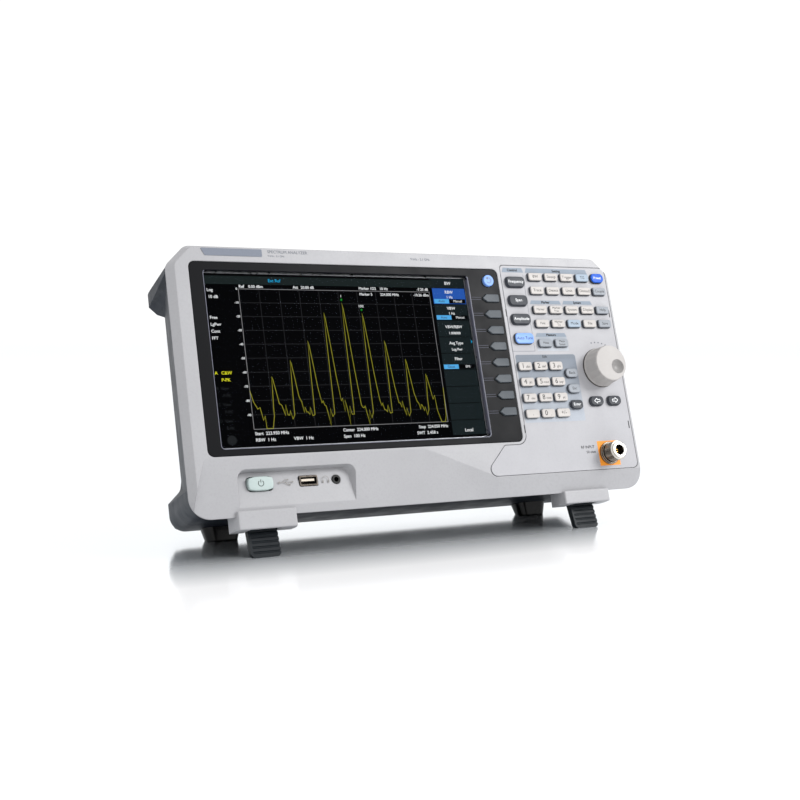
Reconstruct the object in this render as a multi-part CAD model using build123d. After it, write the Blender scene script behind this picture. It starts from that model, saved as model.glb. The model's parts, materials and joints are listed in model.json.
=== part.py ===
from build123d import *
import math
import os

# A bench spectrum analyser: a light moulded front bezel, a dark display frame, a key panel,
# a dark rear cover, two flip-out front feet and everything that stands inside.
#
# Every piece is modelled in the panel frame, in millimetres: x from the bezel's left edge to the
# right, y from the front face into the depth, z up the panel from the bezel's lower edge.
# place() then leans the whole instrument back on its feet and puts the origin on the floor.

# ---------------------------------------------------------------- driving dimensions
WIDTH = 393.0                # bezel
HEIGHT = 201.0
BEZEL_DEPTH = 13.0
CASE_DEPTH = 97.0            # front face to the rear cover's back
TILT = 16.76                 # lean on the flip-out feet, degrees
LIFT = 30.0                  # bezel's lower front edge above the floor

EDGE_Y = 4.0                 # depth of the bezel's widest line
# outlines of the bezel: x from, to, z from, to; upper chamfer; lower left, lower right, upper radius
EDGE_OUTLINE = ((0.0, WIDTH, 0.0, HEIGHT), 16.0, 16.0, 18.0, 9.0)
FACE_OUTLINE = ((6.0, 390.0, 3.0, 199.4), 13.5, 11.0, 15.0, 7.0)
BACK_OUTLINE = ((3.5, 389.5, 3.5, 197.5), 9.5, 14.0, 16.0, 7.0)
WALL = 2.5                   # moulded walls
FRONT_WALL = 4.5             # bezel's front wall
CHIN_Y = 5.0                 # depth of the bezel's face at its lower edge
CHIN_WALL = 0.6              # sideways run of the step at the chin's left end, per depth

INSET = (16.3, 278.5, 43.5, 188.0)       # dark display frame: x from, to, z from, to
WINDOW = (27.2, 249.5, 49.0, 181.6)      # opening in front of the display
RECESS = (37.4, 124.8, 7.0, 32.4)        # floor of the recess round the power button and sockets
RECESS_MOUTH = (36.2, 129.6, 33.8)       # its mouth in the face: x from, to, upper z
RECESS_TOP_Y = 8.5                       # its depth at the top; its floor ramps out to the face
PANEL_THICK = 2.6
PANEL_GAP = 0.35                         # groove round the key panel

KEY_PROUD = 2.8              # key height in front of the panel
KEY_TRAVEL = 0.8
KEY_GAP = 0.3                # clearance round a key in its hole
FLANGE_Y = 3.3               # front of a key's retaining flange
FLANGE_THICK = 0.6
FLANGE_LIP = 0.7
MAT_Y = FLANGE_Y + FLANGE_THICK + KEY_TRAVEL + 0.1
MAT_THICK = 1.2
BOARD_THICK = 1.6

KEY_SIZE = (12.9, 6.6, 1.6)              # width, height, corner radius
NUMBER_SIZE = (12.7, 7.1, 1.8)
BIG_SIZE = (17.8, 9.0, 3.4)
END_SIZE = (11.8, 7.4, 2.6)
PRESET_SIZE = (12.8, 8.2, 3.0)
ARROW_SIZE = (13.0, 7.8, 3.2)
COLUMNS = [313.9, 329.9, 345.9, 361.9, 377.6]
ROWS = [181.6, 169.7, 153.1, 141.1]
BIG_X = 293.9
BIG_ROWS = [176.9, 160.9, 144.9, 128.4]
MEASURE_Z = 124.3
NUMBER_X = [290.2, 305.4, 320.4]
NUMBER_Z = [104.9, 91.7, 78.5, 65.3]
SIDE_X = 334.9
SIDE_Z = [98.5, 85.3, 71.8]
ARROW_X = [355.8, 373.9]
ARROW_Z = 74.2
SOFT_X = (260.4, 264.6, 276.0)           # tip, shoulder and right end of a soft key
SOFT_HEIGHT = 6.6
SOFT_TOP_Z = 162.8
SOFT_PITCH = 13.5
SOFT_COUNT = 8
SOFT_PROUD = 1.2
RETURN_KEY = (268.3, 177.6, 4.9)         # x, z, radius

KNOB = (365.8, 102.9)
KNOB_BASE_R = 16.5
KNOB_FACE_R = 15.0
KNOB_LENGTH = 16.0
KNOB_DIMPLE = (6.0, -3.2, 5.6)           # x and z off the axis, radius
SHAFT_R = 3.0
SHAFT_GAP = 0.05

POWER = (54.4, 23.6)
POWER_SIZE = (19.6, 10.4, 3.0)
POWER_FRONT_Y = 3.6
POWER_TRAVEL = 1.5
USB = (92.2, 23.8)
JACK = (114.4, 23.5)
JACK_BORE_R = 1.8
PORT_BOARD_Y = 20.0

RF_INPUT = (360.4, 30.0)
N_THREAD_R = 7.95
N_LENGTH = 15.0
N_BORE_R = 4.1

LIPS = [(34.0, 78.0), (311.0, 354.5)]    # front faces of the two hoods over the feet
LIP_BOTTOM_Z = -8.8
LIP_TOP_Z = [4.6, 1.6]
LIP_Y = (1.6, 20.5)
LIP_FLANK = 1.2
FEET_X = [55.0, 333.5]
FOOT_WIDTH = 22.6
FOOT_HINGE = (16.5, -3.2)                # y and z of the hinge pins
FOOT_BARREL_R = 2.8
FOOT_PIN_R = 1.5
FOOT_TOE_Y = (9.5, 14.5)                 # where the sole meets the floor
FOOT_FOLD = 96.0
FOOT_CORNER = 3.6
FOOT_SLOT_GAP = 0.4

CASE_FRONT = (4.0, 389.0, 5.0, 197.4)    # x from, to, z from, to at the bezel
CASE_REAR = (14.0, 379.0)                # x from, to at the ears
CASE_RADII = (12.0, 4.0)                 # rounds of its lower and upper long edges
CASE_CORNER = (184.3, 181.0)             # z minus x along its upper corner, at its front and back
CASE_INNER_FRONT = (7.0, 386.0, 8.0, 194.6)
CASE_INNER_REAR = (30.5, 362.5)
CASE_INNER_RADII = (9.0, 12.0)
SCOOP_REAR_X = 26.0                      # flank of the case at its back, between the ears
REAR_WALL_Y = 94.2
REAR_WINDOW = (62.0, 331.0, 24.0, 168.0)
BUMPER_THICK = 3.0

REAR_FEET_X = [50.0, 331.5]
REAR_FOOT_Y = 87.5
REAR_FOOT_TOP = (30.5, 17.5, 7.5)        # width, depth, corner radius
REAR_FOOT_SOLE = (24.0, 14.0, 6.0)
REAR_FOOT_BOTTOM_Z = -6.5

TROUGH = (120.0, 273.0, 34.0, 68.0, 176.0)    # x from, to, y from, to, floor z
HANDLE = (127.0, 266.0, 45.0, 57.0)           # x from, to, y from, to
HANDLE_GRIP_Z = (189.5, 197.0)
HANDLE_LEG_WIDTH = 10.0
HANDLE_LEG_Z = 140.0
HANDLE_GAP = 0.4
HANDLE_TRAVEL = 28.0

TRAY_FRONT_Y = 22.0
TRAY_REAR_Y = 84.0
SHEET = 1.2
TRAY_X = (40.0, 353.0)
TRAY_Z = (11.0, 130.0)
TRAY_REAR_X = (58.0, 335.0)
TRAY_REAR_Z = 172.0

FAN = (275.0, 118.0)                     # x and z of the fan's axis
FAN_SIZE = 60.0
FAN_Y = (68.2, 83.8)
FAN_BLADES = 7
FAN_SHAFT_R = 1.5

INLET = (92.0, 50.0)
LAN = (150.0, 40.0)
USB_B = (176.0, 40.0)
BNC_X = [205.0, 228.0, 251.0]
BNC_Z = 42.0


# ---------------------------------------------------------------- helpers
def at_depth(sketch, y):
    """Stand a sketch drawn in x and z upright at depth y."""
    return Plane.XZ.offset(-y) * sketch


def slab(sketch, front, back, taper=0.0):
    """A plate of the sketch's outline between two depths, drawing in towards its front."""
    return extrude(at_depth(sketch, back), amount=back - front, taper=taper)


def block(x, y, z):
    """A box from its low and high x, y and z."""
    centre = ((x[0] + x[1]) / 2, (y[0] + y[1]) / 2, (z[0] + z[1]) / 2)
    return Pos(*centre) * Box(x[1] - x[0], y[1] - y[0], z[1] - z[0])


def rounded(centre, size, radius):
    """A rounded rectangle about (x, z)."""
    return Pos(*centre) * RectangleRounded(size[0], size[1], radius)


def rounded_span(span, radius, grow=0.0):
    """A rounded rectangle from x from, to, z from, to."""
    x0, x1, z0, z1 = span
    centre = ((x0 + x1) / 2, (z0 + z1) / 2)
    return rounded(centre, (x1 - x0 + 2 * grow, z1 - z0 + 2 * grow), radius)


def outline(*corners):
    """A closed outline from corners given as x, z, fillet radius."""
    points = [(x, z) for x, z, _ in corners]
    radii = [radius for _, _, radius in corners]
    return make_face(FilletPolyline(*points, radius=radii, close=True))


def rod(x, z, radius, front, back):
    """A round bar along y."""
    return slab(Pos(x, z) * Circle(radius), front, back)


def bar_x(x, y, z, radius):
    """A round bar along x, from x[0] to x[1]."""
    return Pos(x[0], y, z) * Rot(0, 90, 0) * Cylinder(
        radius, x[1] - x[0], align=(Align.CENTER, Align.CENTER, Align.MIN))


def side_profile(points, x):
    """A plate of a y, z profile, from x[0] to x[1]."""
    face = make_face(Polyline(*[(y, z) for y, z in points], close=True))
    return extrude(Plane.YZ.offset(x[0]) * face, amount=x[1] - x[0])


def floor_z(y):
    """Height of the floor in the panel frame at depth y."""
    tilt = math.radians(TILT)
    return (y * math.sin(tilt) - LIFT) / math.cos(tilt)


def floor_block():
    """Everything below the floor, to cut the soles flat."""
    depth = 40.0
    profile = [(-20.0, floor_z(-20.0)), (130.0, floor_z(130.0)),
               (130.0, floor_z(130.0) - depth), (-20.0, floor_z(-20.0) - depth)]
    return side_profile(profile, (-10.0, WIDTH + 10.0))


# ---------------------------------------------------------------- keys
def key_outline(centre, size, grow=0.0, round_left=False, round_right=False):
    """The outline of a key; a rounded end has the full corner radius of half its height."""
    width, height, radius = size
    half_w = width / 2 + grow
    half_h = height / 2 + grow
    big = half_h * 0.9
    left = big if round_left else radius + grow
    right = big if round_right else radius + grow
    x, z = centre
    return outline((x - half_w, z - half_h, left), (x + half_w, z - half_h, right),
                   (x + half_w, z + half_h, right), (x - half_w, z + half_h, left))


def soft_outline(z, grow=0.0):
    """A soft key points at the display on its left."""
    tip, shoulder, end = SOFT_X
    half = SOFT_HEIGHT / 2 + grow
    return outline((tip - grow, z, 0.8), (shoulder - grow / 2, z - half, 0.8),
                   (end + grow, z - half, 1.2), (end + grow, z + half, 1.2),
                   (shoulder - grow / 2, z + half, 0.8))


def key_solid(shape, proud, edge):
    """A key cap with a flange that holds it behind its panel."""
    cap = slab(shape(0.0), -proud, FLANGE_Y)
    cap = chamfer(cap.edges().group_by(Axis.Y)[0], edge)
    return cap + slab(shape(FLANGE_LIP), FLANGE_Y, FLANGE_Y + FLANGE_THICK)


def panel_keys():
    """Every key of the key panel: node name to a list of outline functions."""
    def shape(x, z, size, left=False, right=False):
        return lambda grow: key_outline((x, z), size, grow, left, right)

    def row(columns, z):
        return [shape(x, z, KEY_SIZE) for x in columns]

    keys = {
        "setting_keys_top": row(COLUMNS[:4], ROWS[0]),
        "setting_keys_bottom": row(COLUMNS, ROWS[1]),
        "marker_keys": row(COLUMNS[:2], ROWS[2]) + row(COLUMNS[:2], ROWS[3]),
        "system_keys": row(COLUMNS[2:], ROWS[2]) + row(COLUMNS[2:], ROWS[3]),
        "measure_keys": row(COLUMNS[:2], MEASURE_Z),
        "preset_key": [shape(COLUMNS[4], ROWS[0], PRESET_SIZE, True, True)],
        "left_arrow_key": [shape(ARROW_X[0], ARROW_Z, ARROW_SIZE, left=True)],
        "right_arrow_key": [shape(ARROW_X[1], ARROW_Z, ARROW_SIZE, right=True)],
    }
    big_names = ["frequency_key", "span_key", "amplitude_key", "auto_tune_key"]
    for name, z in zip(big_names, BIG_ROWS):
        keys[name] = [shape(BIG_X, z, BIG_SIZE)]
    for name, z in zip(["back_key", "escape_key", "enter_key"], SIDE_Z):
        keys[name] = [shape(SIDE_X, z, END_SIZE, left=True)]
    for number, z in enumerate(NUMBER_Z, start=1):
        keys[f"number_keys_row_{number}"] = [shape(x, z, NUMBER_SIZE) for x in NUMBER_X]
    return keys


def frame_keys():
    """The keys of the display frame: eight soft keys and the round return key."""
    def soft(z):
        return lambda grow: soft_outline(z, grow)

    x, z, radius = RETURN_KEY
    keys = {"return_key": [lambda grow: Pos(x, z) * Circle(radius + grow)]}
    for number in range(SOFT_COUNT):
        keys[f"soft_key_{number + 1}"] = [soft(SOFT_TOP_Z - number * SOFT_PITCH)]
    return keys


def key_holes(keys):
    """The holes that let a set of keys through a panel."""
    holes = [slab(shape(KEY_GAP), -1.0, FLANGE_Y) for shapes in keys.values() for shape in shapes]
    return Part() + holes


# ---------------------------------------------------------------- front
def bezel_outline(span, corner, low_left, low_right, top):
    """A span with chamfered upper corners and wide rounds at its lower ones."""
    x0, x1, z0, z1 = span
    return outline((x0, z0, low_left), (x1, z0, low_right), (x1, z1 - corner, top),
                   (x1 - corner, z1, top), (x0 + corner, z1, top), (x0, z1 - corner, top))


def panel_outline(grow=0.0):
    """The key panel: a tall plate with a low tongue that runs under the display frame."""
    left, right, low, high = 282.0 - grow, 388.0 + grow, 17.0 - grow, 191.5 + grow
    step = 41.0 + grow
    return outline((237.3 - 2.3 * grow, low, 5.5), (right, low, 5), (right, high, 6),
                   (left, high, 3), (left, step, 8), (260.5 - grow / 2, step, 3))


def chin_cut():
    """The lower face leans back from the display frame on the left and from the panel on the right."""
    def section(x, top):
        fall = CHIN_Y / top
        points = [(-2.0, top), (0.0, top), (CHIN_Y + 2 * fall, -2.0), (-2.0, -2.0)]
        return Plane.YZ.offset(x) * make_face(Polyline(*points, close=True))

    def region(shift):
        """What lies right of the slanted edge of the left border."""
        return make_face(Polyline((shift + 14.0, 45.0), (shift - 1.6, -2.0), (WIDTH + 8, -2.0),
                                  (WIDTH + 8, 45.0), close=True))

    high, low = INSET[2] - 1.5, 16.3
    stations = [(-5.0, high), (188.0, high), (250.0, low), (WIDTH + 5.0, low)]
    cut = Part()
    for (x0, top0), (x1, top1) in zip(stations, stations[1:]):
        cut += loft([section(x0, top0), section(x1, top1)], ruled=True)
    ends = [at_depth(region(CHIN_WALL * y), y) for y in (-2.5, 8.5)]
    return cut & loft(ends, ruled=True)


def recess_cut():
    """The recess ramps out from its deep upper edge to the face at its lower one."""
    x0, x1, z0, z1 = RECESS
    left, right, top = RECESS_MOUTH
    chin = CHIN_Y * (1 - z0 / (INSET[2] - 1.5))
    slope = (RECESS_TOP_Y - chin) / (z1 - z0)
    over = top - z1 + 1.0
    ramp = side_profile([(-2.0, z1 + over), (RECESS_TOP_Y + slope * over, z1 + over), (chin, z0),
                         (-2.0, z0)], (left - 1, right + 1))
    low = z0 - 1
    floor = outline((x0, low, 0), (x1, low, 0), (x1, z1, 6), (x0, z1, 6))
    mouth = outline((left, low, 0), (right, low, 0), (right, top, 7), (left, top, 7))
    walls = loft([at_depth(floor, RECESS_TOP_Y), at_depth(mouth, 0.0)], ruled=True)
    return ramp & (walls + slab(mouth, -2.0, 0.0) + slab(floor, RECESS_TOP_Y, 12.0))


def lip(index):
    """A hood over a flip-out foot, with the cheeks that carry the foot's pins."""
    x0, x1 = LIPS[index]
    low, high = LIP_BOTTOM_Z, LIP_TOP_Z[index]
    front, back = LIP_Y
    plan = Polyline((x0, front), (x1, front), (x1 + 2.0, 8.0), (x1 + 2.0, back),
                    (x0 - LIP_FLANK, back), (x0 - LIP_FLANK, 10.0), close=True)
    hood = extrude(Plane.XY.offset(low) * make_face(plan), amount=high - low)
    hood -= block((0, WIDTH), (BEZEL_DEPTH, back + 1), (4.4, 20))
    upright = hood.edges().filter_by(Axis.Z).group_by(Axis.Y)[0]
    hood = fillet(upright, 1.2)
    hood = fillet(hood.edges().filter_by(Axis.X).group_by(Axis.Y)[0], 0.9)
    return hood


def foot_slot(x):
    """The slot a foot folds through, open below and behind, with a stop for the foot."""
    half = FOOT_WIDTH / 2 + FOOT_SLOT_GAP
    y, z = FOOT_HINGE
    slot = block((x - half, x + half), (5.0, LIP_Y[1] + 1), (LIP_BOTTOM_Z - 1, 0.8))
    slot -= block((x - half, x + half), (5.0, 13.2), (-4.5, 2.0))
    pins = bar_x((x - half - 3.0, x + half + 3.0), y, z, FOOT_PIN_R + SHAFT_GAP)
    return slot + pins


def make_bezel():
    edge = at_depth(bezel_outline(*EDGE_OUTLINE), EDGE_Y)
    face = at_depth(bezel_outline(*FACE_OUTLINE), 0.0)
    back = at_depth(bezel_outline(*BACK_OUTLINE), BEZEL_DEPTH)
    body = loft([edge, face], ruled=True) + loft([edge, back], ruled=True)
    body -= chin_cut()
    for index in range(len(LIPS)):
        body += lip(index)
    body -= slab(rounded_span((9.0, 384.0, INSET[2] + 1.0, 193.5), 6.0), FRONT_WALL, 20.0)
    body -= slab(rounded_span((14.0, 379.0, 6.0, INSET[2] - 1.0), 6.0), 10.5, BEZEL_DEPTH + 0.1)
    body -= slab(rounded_span(INSET, 5.0, 0.15), -1.0, 20.0)
    body -= slab(panel_outline(PANEL_GAP), -1.0, PANEL_THICK)
    body -= slab(rounded_span((282.7, 385.2, 45.0, 189.0), 4.0), 0.0, 20.0)
    body -= recess_cut()
    body -= slab(key_outline(POWER, POWER_SIZE, KEY_GAP), 0.0, 20.0)
    body -= slab(rounded(USB, (14.8, 8.2), 1.0), 0.0, 20.0)
    body -= rod(*JACK, 3.6, 0.0, 20.0)
    body -= rod(*RF_INPUT, 5.6, 0.0, 20.0)
    for x in FEET_X:
        body -= foot_slot(x)
    return body


def make_display_surround():
    """The dark frame round the display, which also carries the soft keys."""
    frame = slab(rounded_span(INSET, 5.0), 0.3, 6.0)
    frame -= slab(rounded_span(WINDOW, 2.5), -1.0, 10.0)
    frame = chamfer(frame.edges().group_by(Axis.Y)[0], 0.5)
    frame -= slab(rounded_span((21.0, 256.0, 45.2, 185.2), 2.0), 2.6, 10.0)
    frame -= slab(rounded_span((258.6, 279.0, 58.0, 185.2), 0.3), FLANGE_Y - 0.3, 10.0)
    frame -= key_holes(frame_keys())
    return frame


def make_control_panel():
    """The key panel, a plate let into the bezel."""
    plate = slab(panel_outline(), 0.0, PANEL_THICK)
    plate = fillet(plate.edges().group_by(Axis.Y)[0], 0.3)
    plate -= key_holes(panel_keys())
    plate -= rod(*KNOB, 5.0, -1.0, 5.0)
    plate -= rod(*RF_INPUT, 5.6, -1.0, 5.0)
    return plate


def make_keys():
    """Every key and key row, each standing in its holes."""
    solids = {}
    for name, shapes in panel_keys().items():
        solids[name] = [key_solid(shape, KEY_PROUD, 0.6) for shape in shapes]
    for name, shapes in frame_keys().items():
        proud = KEY_PROUD - 1.0 if name == "return_key" else SOFT_PROUD
        solids[name] = [key_solid(shape, proud, 0.35) for shape in shapes]
    return solids


def make_keypad_mat():
    """The silicone mat under the keys, with a dome under each one."""
    mat = block((259.0, 383.5), (MAT_Y, MAT_Y + MAT_THICK), (58.5, 188.5))
    mat -= block((250.0, INSET[1] + 0.5), (0.0, 20.0), (184.7, 200.0))
    mat -= rod(*KNOB, 9.5, 0.0, 20.0)
    return mat


def make_front_boards():
    """The key board behind the mat, and the small board of the power switch and the sockets."""
    y = MAT_Y + MAT_THICK
    keys = block((259.0, 383.5), (y, y + BOARD_THICK), (58.5, 188.5))
    keys -= rod(*KNOB, 4.0, 0.0, 20.0)
    ports = block((42.0, 122.0), (PORT_BOARD_Y, PORT_BOARD_Y + BOARD_THICK), (13.5, 40.0))
    switch = block((POWER[0] - 3, POWER[0] + 3), (PORT_BOARD_Y - 3.0, PORT_BOARD_Y),
                   (POWER[1] - 3, POWER[1] + 3))
    return [keys, ports + switch]


def make_power_button():
    """A barrel-fronted button with a stem that reaches its switch."""
    x, z = POWER
    cap = slab(key_outline(POWER, POWER_SIZE), POWER_FRONT_Y, 11.5)
    cap = fillet(cap.edges().group_by(Axis.Y)[0], 1.2)
    flange = slab(key_outline(POWER, POWER_SIZE, 1.0), 10.9, 12.0)
    stem = rod(x, z, 1.5, 12.0, PORT_BOARD_Y - 3.0 - POWER_TRAVEL - 0.2)
    return cap + flange + stem


def make_usb_port():
    """A type A socket: a flared metal shell and the tongue inside it."""
    shell = slab(rounded(USB, (14.2, 7.4), 0.6), 6.0, 7.0)
    shell += slab(rounded(USB, (13.4, 6.2), 0.4), 7.0, PORT_BOARD_Y)
    shell -= slab(rounded(USB, (12.5, 5.2), 0.3), 5.0, PORT_BOARD_Y - 2.0)
    tongue = block((USB[0] - 5.7, USB[0] + 5.7), (8.0, PORT_BOARD_Y - 2.0),
                   (USB[1] - 0.2, USB[1] + 1.7))
    return shell + tongue


def make_headphone_jack():
    jack = rod(*JACK, 3.5, 6.2, 14.0)
    jack += block((JACK[0] - 4, JACK[0] + 4), (14.0, PORT_BOARD_Y), (JACK[1] - 4, JACK[1] + 4))
    jack = fillet(jack.edges().group_by(Axis.Y)[0], 0.4)
    return jack - rod(*JACK, JACK_BORE_R, 5.0, 18.5)


# ---------------------------------------------------------------- knob and RF input
def make_knob():
    """A tapered knob with a finger dimple in its face."""
    knob = Pos(KNOB[0], -0.6, KNOB[1]) * Rot(90, 0, 0) * Cone(
        KNOB_BASE_R, KNOB_FACE_R, KNOB_LENGTH, align=(Align.CENTER, Align.CENTER, Align.MIN))
    knob = fillet(knob.edges().group_by(Axis.Y)[0], 0.8)
    dx, dz, radius = KNOB_DIMPLE
    ball_r = radius * 1.25
    knob -= Pos(KNOB[0] + dx, -KNOB_LENGTH - 0.6 - ball_r * 0.4, KNOB[1] + dz) * Sphere(ball_r)
    hollow = rod(*KNOB, KNOB_FACE_R - 2.6, -11.5, 0.0) - rod(*KNOB, 5.5, -12.0, -3.0)
    knob -= hollow
    return knob - rod(*KNOB, SHAFT_R, -11.5, 0.0)


def make_encoder_shaft():
    return rod(*KNOB, SHAFT_R, -11.0, 11.0)


def make_encoder_body():
    """The rotary encoder: a bush through the panel, a nut on it and the body on the key board."""
    x, z = KNOB
    body = block((x - 7, x + 7), (8.0, 14.0), (z - 7, z + 7))
    body += rod(x, z, 4.7, -2.0, 8.0) & rod(x, z, 4.7, -2.0, MAT_Y)
    body += rod(x, z, 3.9, MAT_Y, 8.0)
    nut = at_depth(Pos(x, z) * RegularPolygon(6.2, 6), 0.0)
    body += extrude(nut, amount=1.8)
    return body - rod(x, z, SHAFT_R + SHAFT_GAP, -3.0, 11.3)


def make_n_shell():
    """The N type input: a flanged body with a plain-turned thread and a bore."""
    x, z = RF_INPUT
    shell = rod(x, z, 9.4, -2.0, 0.0)
    shell += rod(x, z, 8.8, -4.6, -2.0)
    shell += rod(x, z, N_THREAD_R, -N_LENGTH, -4.6)
    shell = chamfer(shell.edges().group_by(Axis.Y)[0], 0.9)
    shell -= rod(x, z, N_BORE_R, -N_LENGTH - 1, -4.0)
    shell += rod(x, z, 5.5, 0.0, 24.0)
    return shell - rod(x, z, 3.0, -4.1, 24.1)


def make_n_insulator():
    x, z = RF_INPUT
    return rod(x, z, 3.0, -5.6, 24.0) - rod(x, z, 1.5, -5.7, 24.1)


def make_n_pin():
    """The centre contact, a split socket."""
    x, z = RF_INPUT
    pin = rod(x, z, 1.5, -10.5, 26.0) - rod(x, z, 0.85, -11.0, -4.0)
    slots = block((x - 2, x + 2), (-11.0, -7.5), (z - 0.15, z + 0.15))
    return pin - slots - block((x - 0.15, x + 0.15), (-11.0, -7.5), (z - 2, z + 2))


# ---------------------------------------------------------------- feet and handle
def make_foot(x):
    """A flip-out foot: a barrel with stub pins, and a ribbed leg that leans forwards."""
    hinge_y, hinge_z = FOOT_HINGE
    toe, heel = FOOT_TOE_Y
    barrel_front = hinge_y - FOOT_BARREL_R
    span = (x - FOOT_WIDTH / 2, x + FOOT_WIDTH / 2)
    leg = side_profile([(barrel_front, hinge_z), (toe, floor_z(toe)), (heel, floor_z(heel)),
                        (hinge_y + FOOT_BARREL_R, hinge_z)], span)
    toe_z = floor_z(toe)
    leg &= slab(outline((span[0], toe_z, FOOT_CORNER), (span[1], toe_z, FOOT_CORNER),
                        (span[1], hinge_z, 0), (span[0], hinge_z, 0)), 0.0, 30.0)
    foot = leg + bar_x(span, hinge_y, hinge_z, FOOT_BARREL_R)
    foot += bar_x((span[0] - 2.8, span[1] + 2.8), hinge_y, hinge_z, FOOT_PIN_R)
    rib_count = 5
    first, last = -9.5, -24.5
    for number in range(rib_count):
        z = first + (last - first) * number / (rib_count - 1)
        y = barrel_front + (toe - barrel_front) * (z - hinge_z) / (toe_z - hinge_z)
        foot -= bar_x((span[0] + 1.6, span[1] + 1), y - 0.1, z, 0.9)
    return foot


def make_rear_feet():
    """Two tapered rubber feet under the back of the case, their soles flat on the floor."""
    feet = []
    for x in REAR_FEET_X:
        ends = [Pos(x, REAR_FOOT_Y, z) * RectangleRounded(*size)
                for size, z in ((REAR_FOOT_TOP, CASE_FRONT[2]), (REAR_FOOT_SOLE, REAR_FOOT_BOTTOM_Z))]
        foot = loft(ends, ruled=True)
        foot = fillet(foot.edges().group_by(Axis.Z)[0], 1.2)
        feet.append(foot - floor_block())
    return feet


def make_handle():
    """A carrying handle that pulls up out of the case: a grip on two sliding legs."""
    x0, x1, y0, y1 = HANDLE
    low, high = HANDLE_GRIP_Z
    grip = block((x0, x1), (y0, y1), (low, high))
    grip = fillet(grip.edges().filter_by(Axis.X), 2.6)
    for start in (x0, x1 - HANDLE_LEG_WIDTH):
        grip += block((start, start + HANDLE_LEG_WIDTH), (y0 + 1.5, y1 - 1.5),
                      (HANDLE_LEG_Z, low + 3.0))
    return grip


# ---------------------------------------------------------------- case
def case_block(front, back, y0, y1, radii):
    """A block that narrows towards its back, its lower and upper long edges rounded."""
    plan = Polyline((front[0], y0), (front[1], y0), (back[1], y1), (back[0], y1), close=True)
    solid = extrude(Plane.XY.offset(front[2]) * make_face(plan), amount=front[3] - front[2])
    for low_side, radius in zip((True, False), radii):
        long_edges = [edge for edge in solid.edges()
                      if edge.bounding_box().size.Y > (y1 - y0) * 0.9
                      and (edge.center().Z < HEIGHT / 2) == low_side]
        solid = fillet(long_edges, radius)
    return solid


def case_corner():
    """What bevels the case's upper left edge, so that it follows the bezel's corner."""
    def section(offset, y):
        reach = 40.0
        triangle = Polyline((-reach, offset - reach), (reach, offset + reach),
                            (-reach, offset + reach), close=True)
        return at_depth(make_face(triangle), y)

    front, back = CASE_CORNER
    return loft([section(front, BEZEL_DEPTH - 0.1), section(back, CASE_DEPTH + 0.1)], ruled=True)


def scoop():
    """What is cut from the left flank, so that only the ears stand out at the back."""
    end = CASE_DEPTH + 5.0
    slope = (SCOOP_REAR_X - CASE_FRONT[0]) / (CASE_DEPTH - BEZEL_DEPTH)
    plan = Polyline((CASE_FRONT[0], BEZEL_DEPTH), (SCOOP_REAR_X + slope * 5.0, end),
                    (-20.0, end), (-20.0, BEZEL_DEPTH), close=True)
    wedge = extrude(Plane.XY * make_face(plan), amount=HEIGHT)
    ends = outline((-20, 20, 0), (13, 25.8, 4), (24.6, 36.6, 9), (26.8, 48, 15), (31, 70, 10),
                   (31, 168, 6), (27.5, 175, 4), (20, 177.5, 3), (14, 183.5, 3), (-20, 190, 0))
    return wedge & slab(ends, 0.0, CASE_DEPTH + 10.0)


def vents():
    """Slots in the case's top, beside the handle."""
    slots = [block((x, x + 4.0), (36.0, 66.0), (190.0, 200.0)) for x in range(292, 350, 10)]
    return Part() + slots


def make_rear_cover():
    case = case_block(CASE_FRONT, CASE_REAR, BEZEL_DEPTH, CASE_DEPTH, CASE_RADII)
    for cut in (scoop(), case_corner()):
        case -= cut
        case -= mirror(cut, about=Plane.YZ.offset(WIDTH / 2))
    case -= case_block(CASE_INNER_FRONT, CASE_INNER_REAR, BEZEL_DEPTH - 0.01, REAR_WALL_Y,
                       CASE_INNER_RADII)
    case += slab(rounded_span(REAR_WINDOW, 4.0, WALL), TRAY_REAR_Y + SHEET, REAR_WALL_Y)
    x0, x1, y0, y1, floor = TROUGH
    case += block((x0 - WALL, x1 + WALL), (y0 - WALL, y1 + WALL), (floor - WALL, 196.0))
    guide_z = (HANDLE_LEG_Z - 4.0, floor)
    leg_y = (HANDLE[2] + 1.5 - HANDLE_GAP, HANDLE[3] - 1.5 + HANDLE_GAP)
    for start in (HANDLE[0], HANDLE[1] - HANDLE_LEG_WIDTH):
        leg_x = (start - HANDLE_GAP, start + HANDLE_LEG_WIDTH + HANDLE_GAP)
        case += block((leg_x[0] - WALL, leg_x[1] + WALL), (leg_y[0] - WALL, leg_y[1] + WALL),
                      guide_z)
        case -= block(leg_x, leg_y, (guide_z[0] + WALL, floor + 1))
    case -= block((x0, x1), (y0, y1), (floor, 210.0))
    case -= slab(rounded_span(REAR_WINDOW, 4.0), TRAY_REAR_Y, CASE_DEPTH + 1)
    case -= vents()
    for x, z in screw_places():
        case -= screw(x, z)
    return case


def screw_places():
    return [(44.0, 20.0), (WIDTH - 44.0, 20.0), (44.0, 181.0), (WIDTH - 44.0, 181.0)]


def screw(x, z):
    """A countersunk screw let into the rear wall."""
    head = rod(x, z, 3.2, CASE_DEPTH - 1.8, CASE_DEPTH)
    return head + rod(x, z, 1.6, CASE_DEPTH - 12.0, CASE_DEPTH - 1.8)


def make_screws():
    screws = []
    for x, z in screw_places():
        socket = slab(Pos(x, z) * RegularPolygon(1.5, 6), CASE_DEPTH - 1.2, CASE_DEPTH + 1)
        screws.append(screw(x, z) - socket)
    return screws


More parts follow.
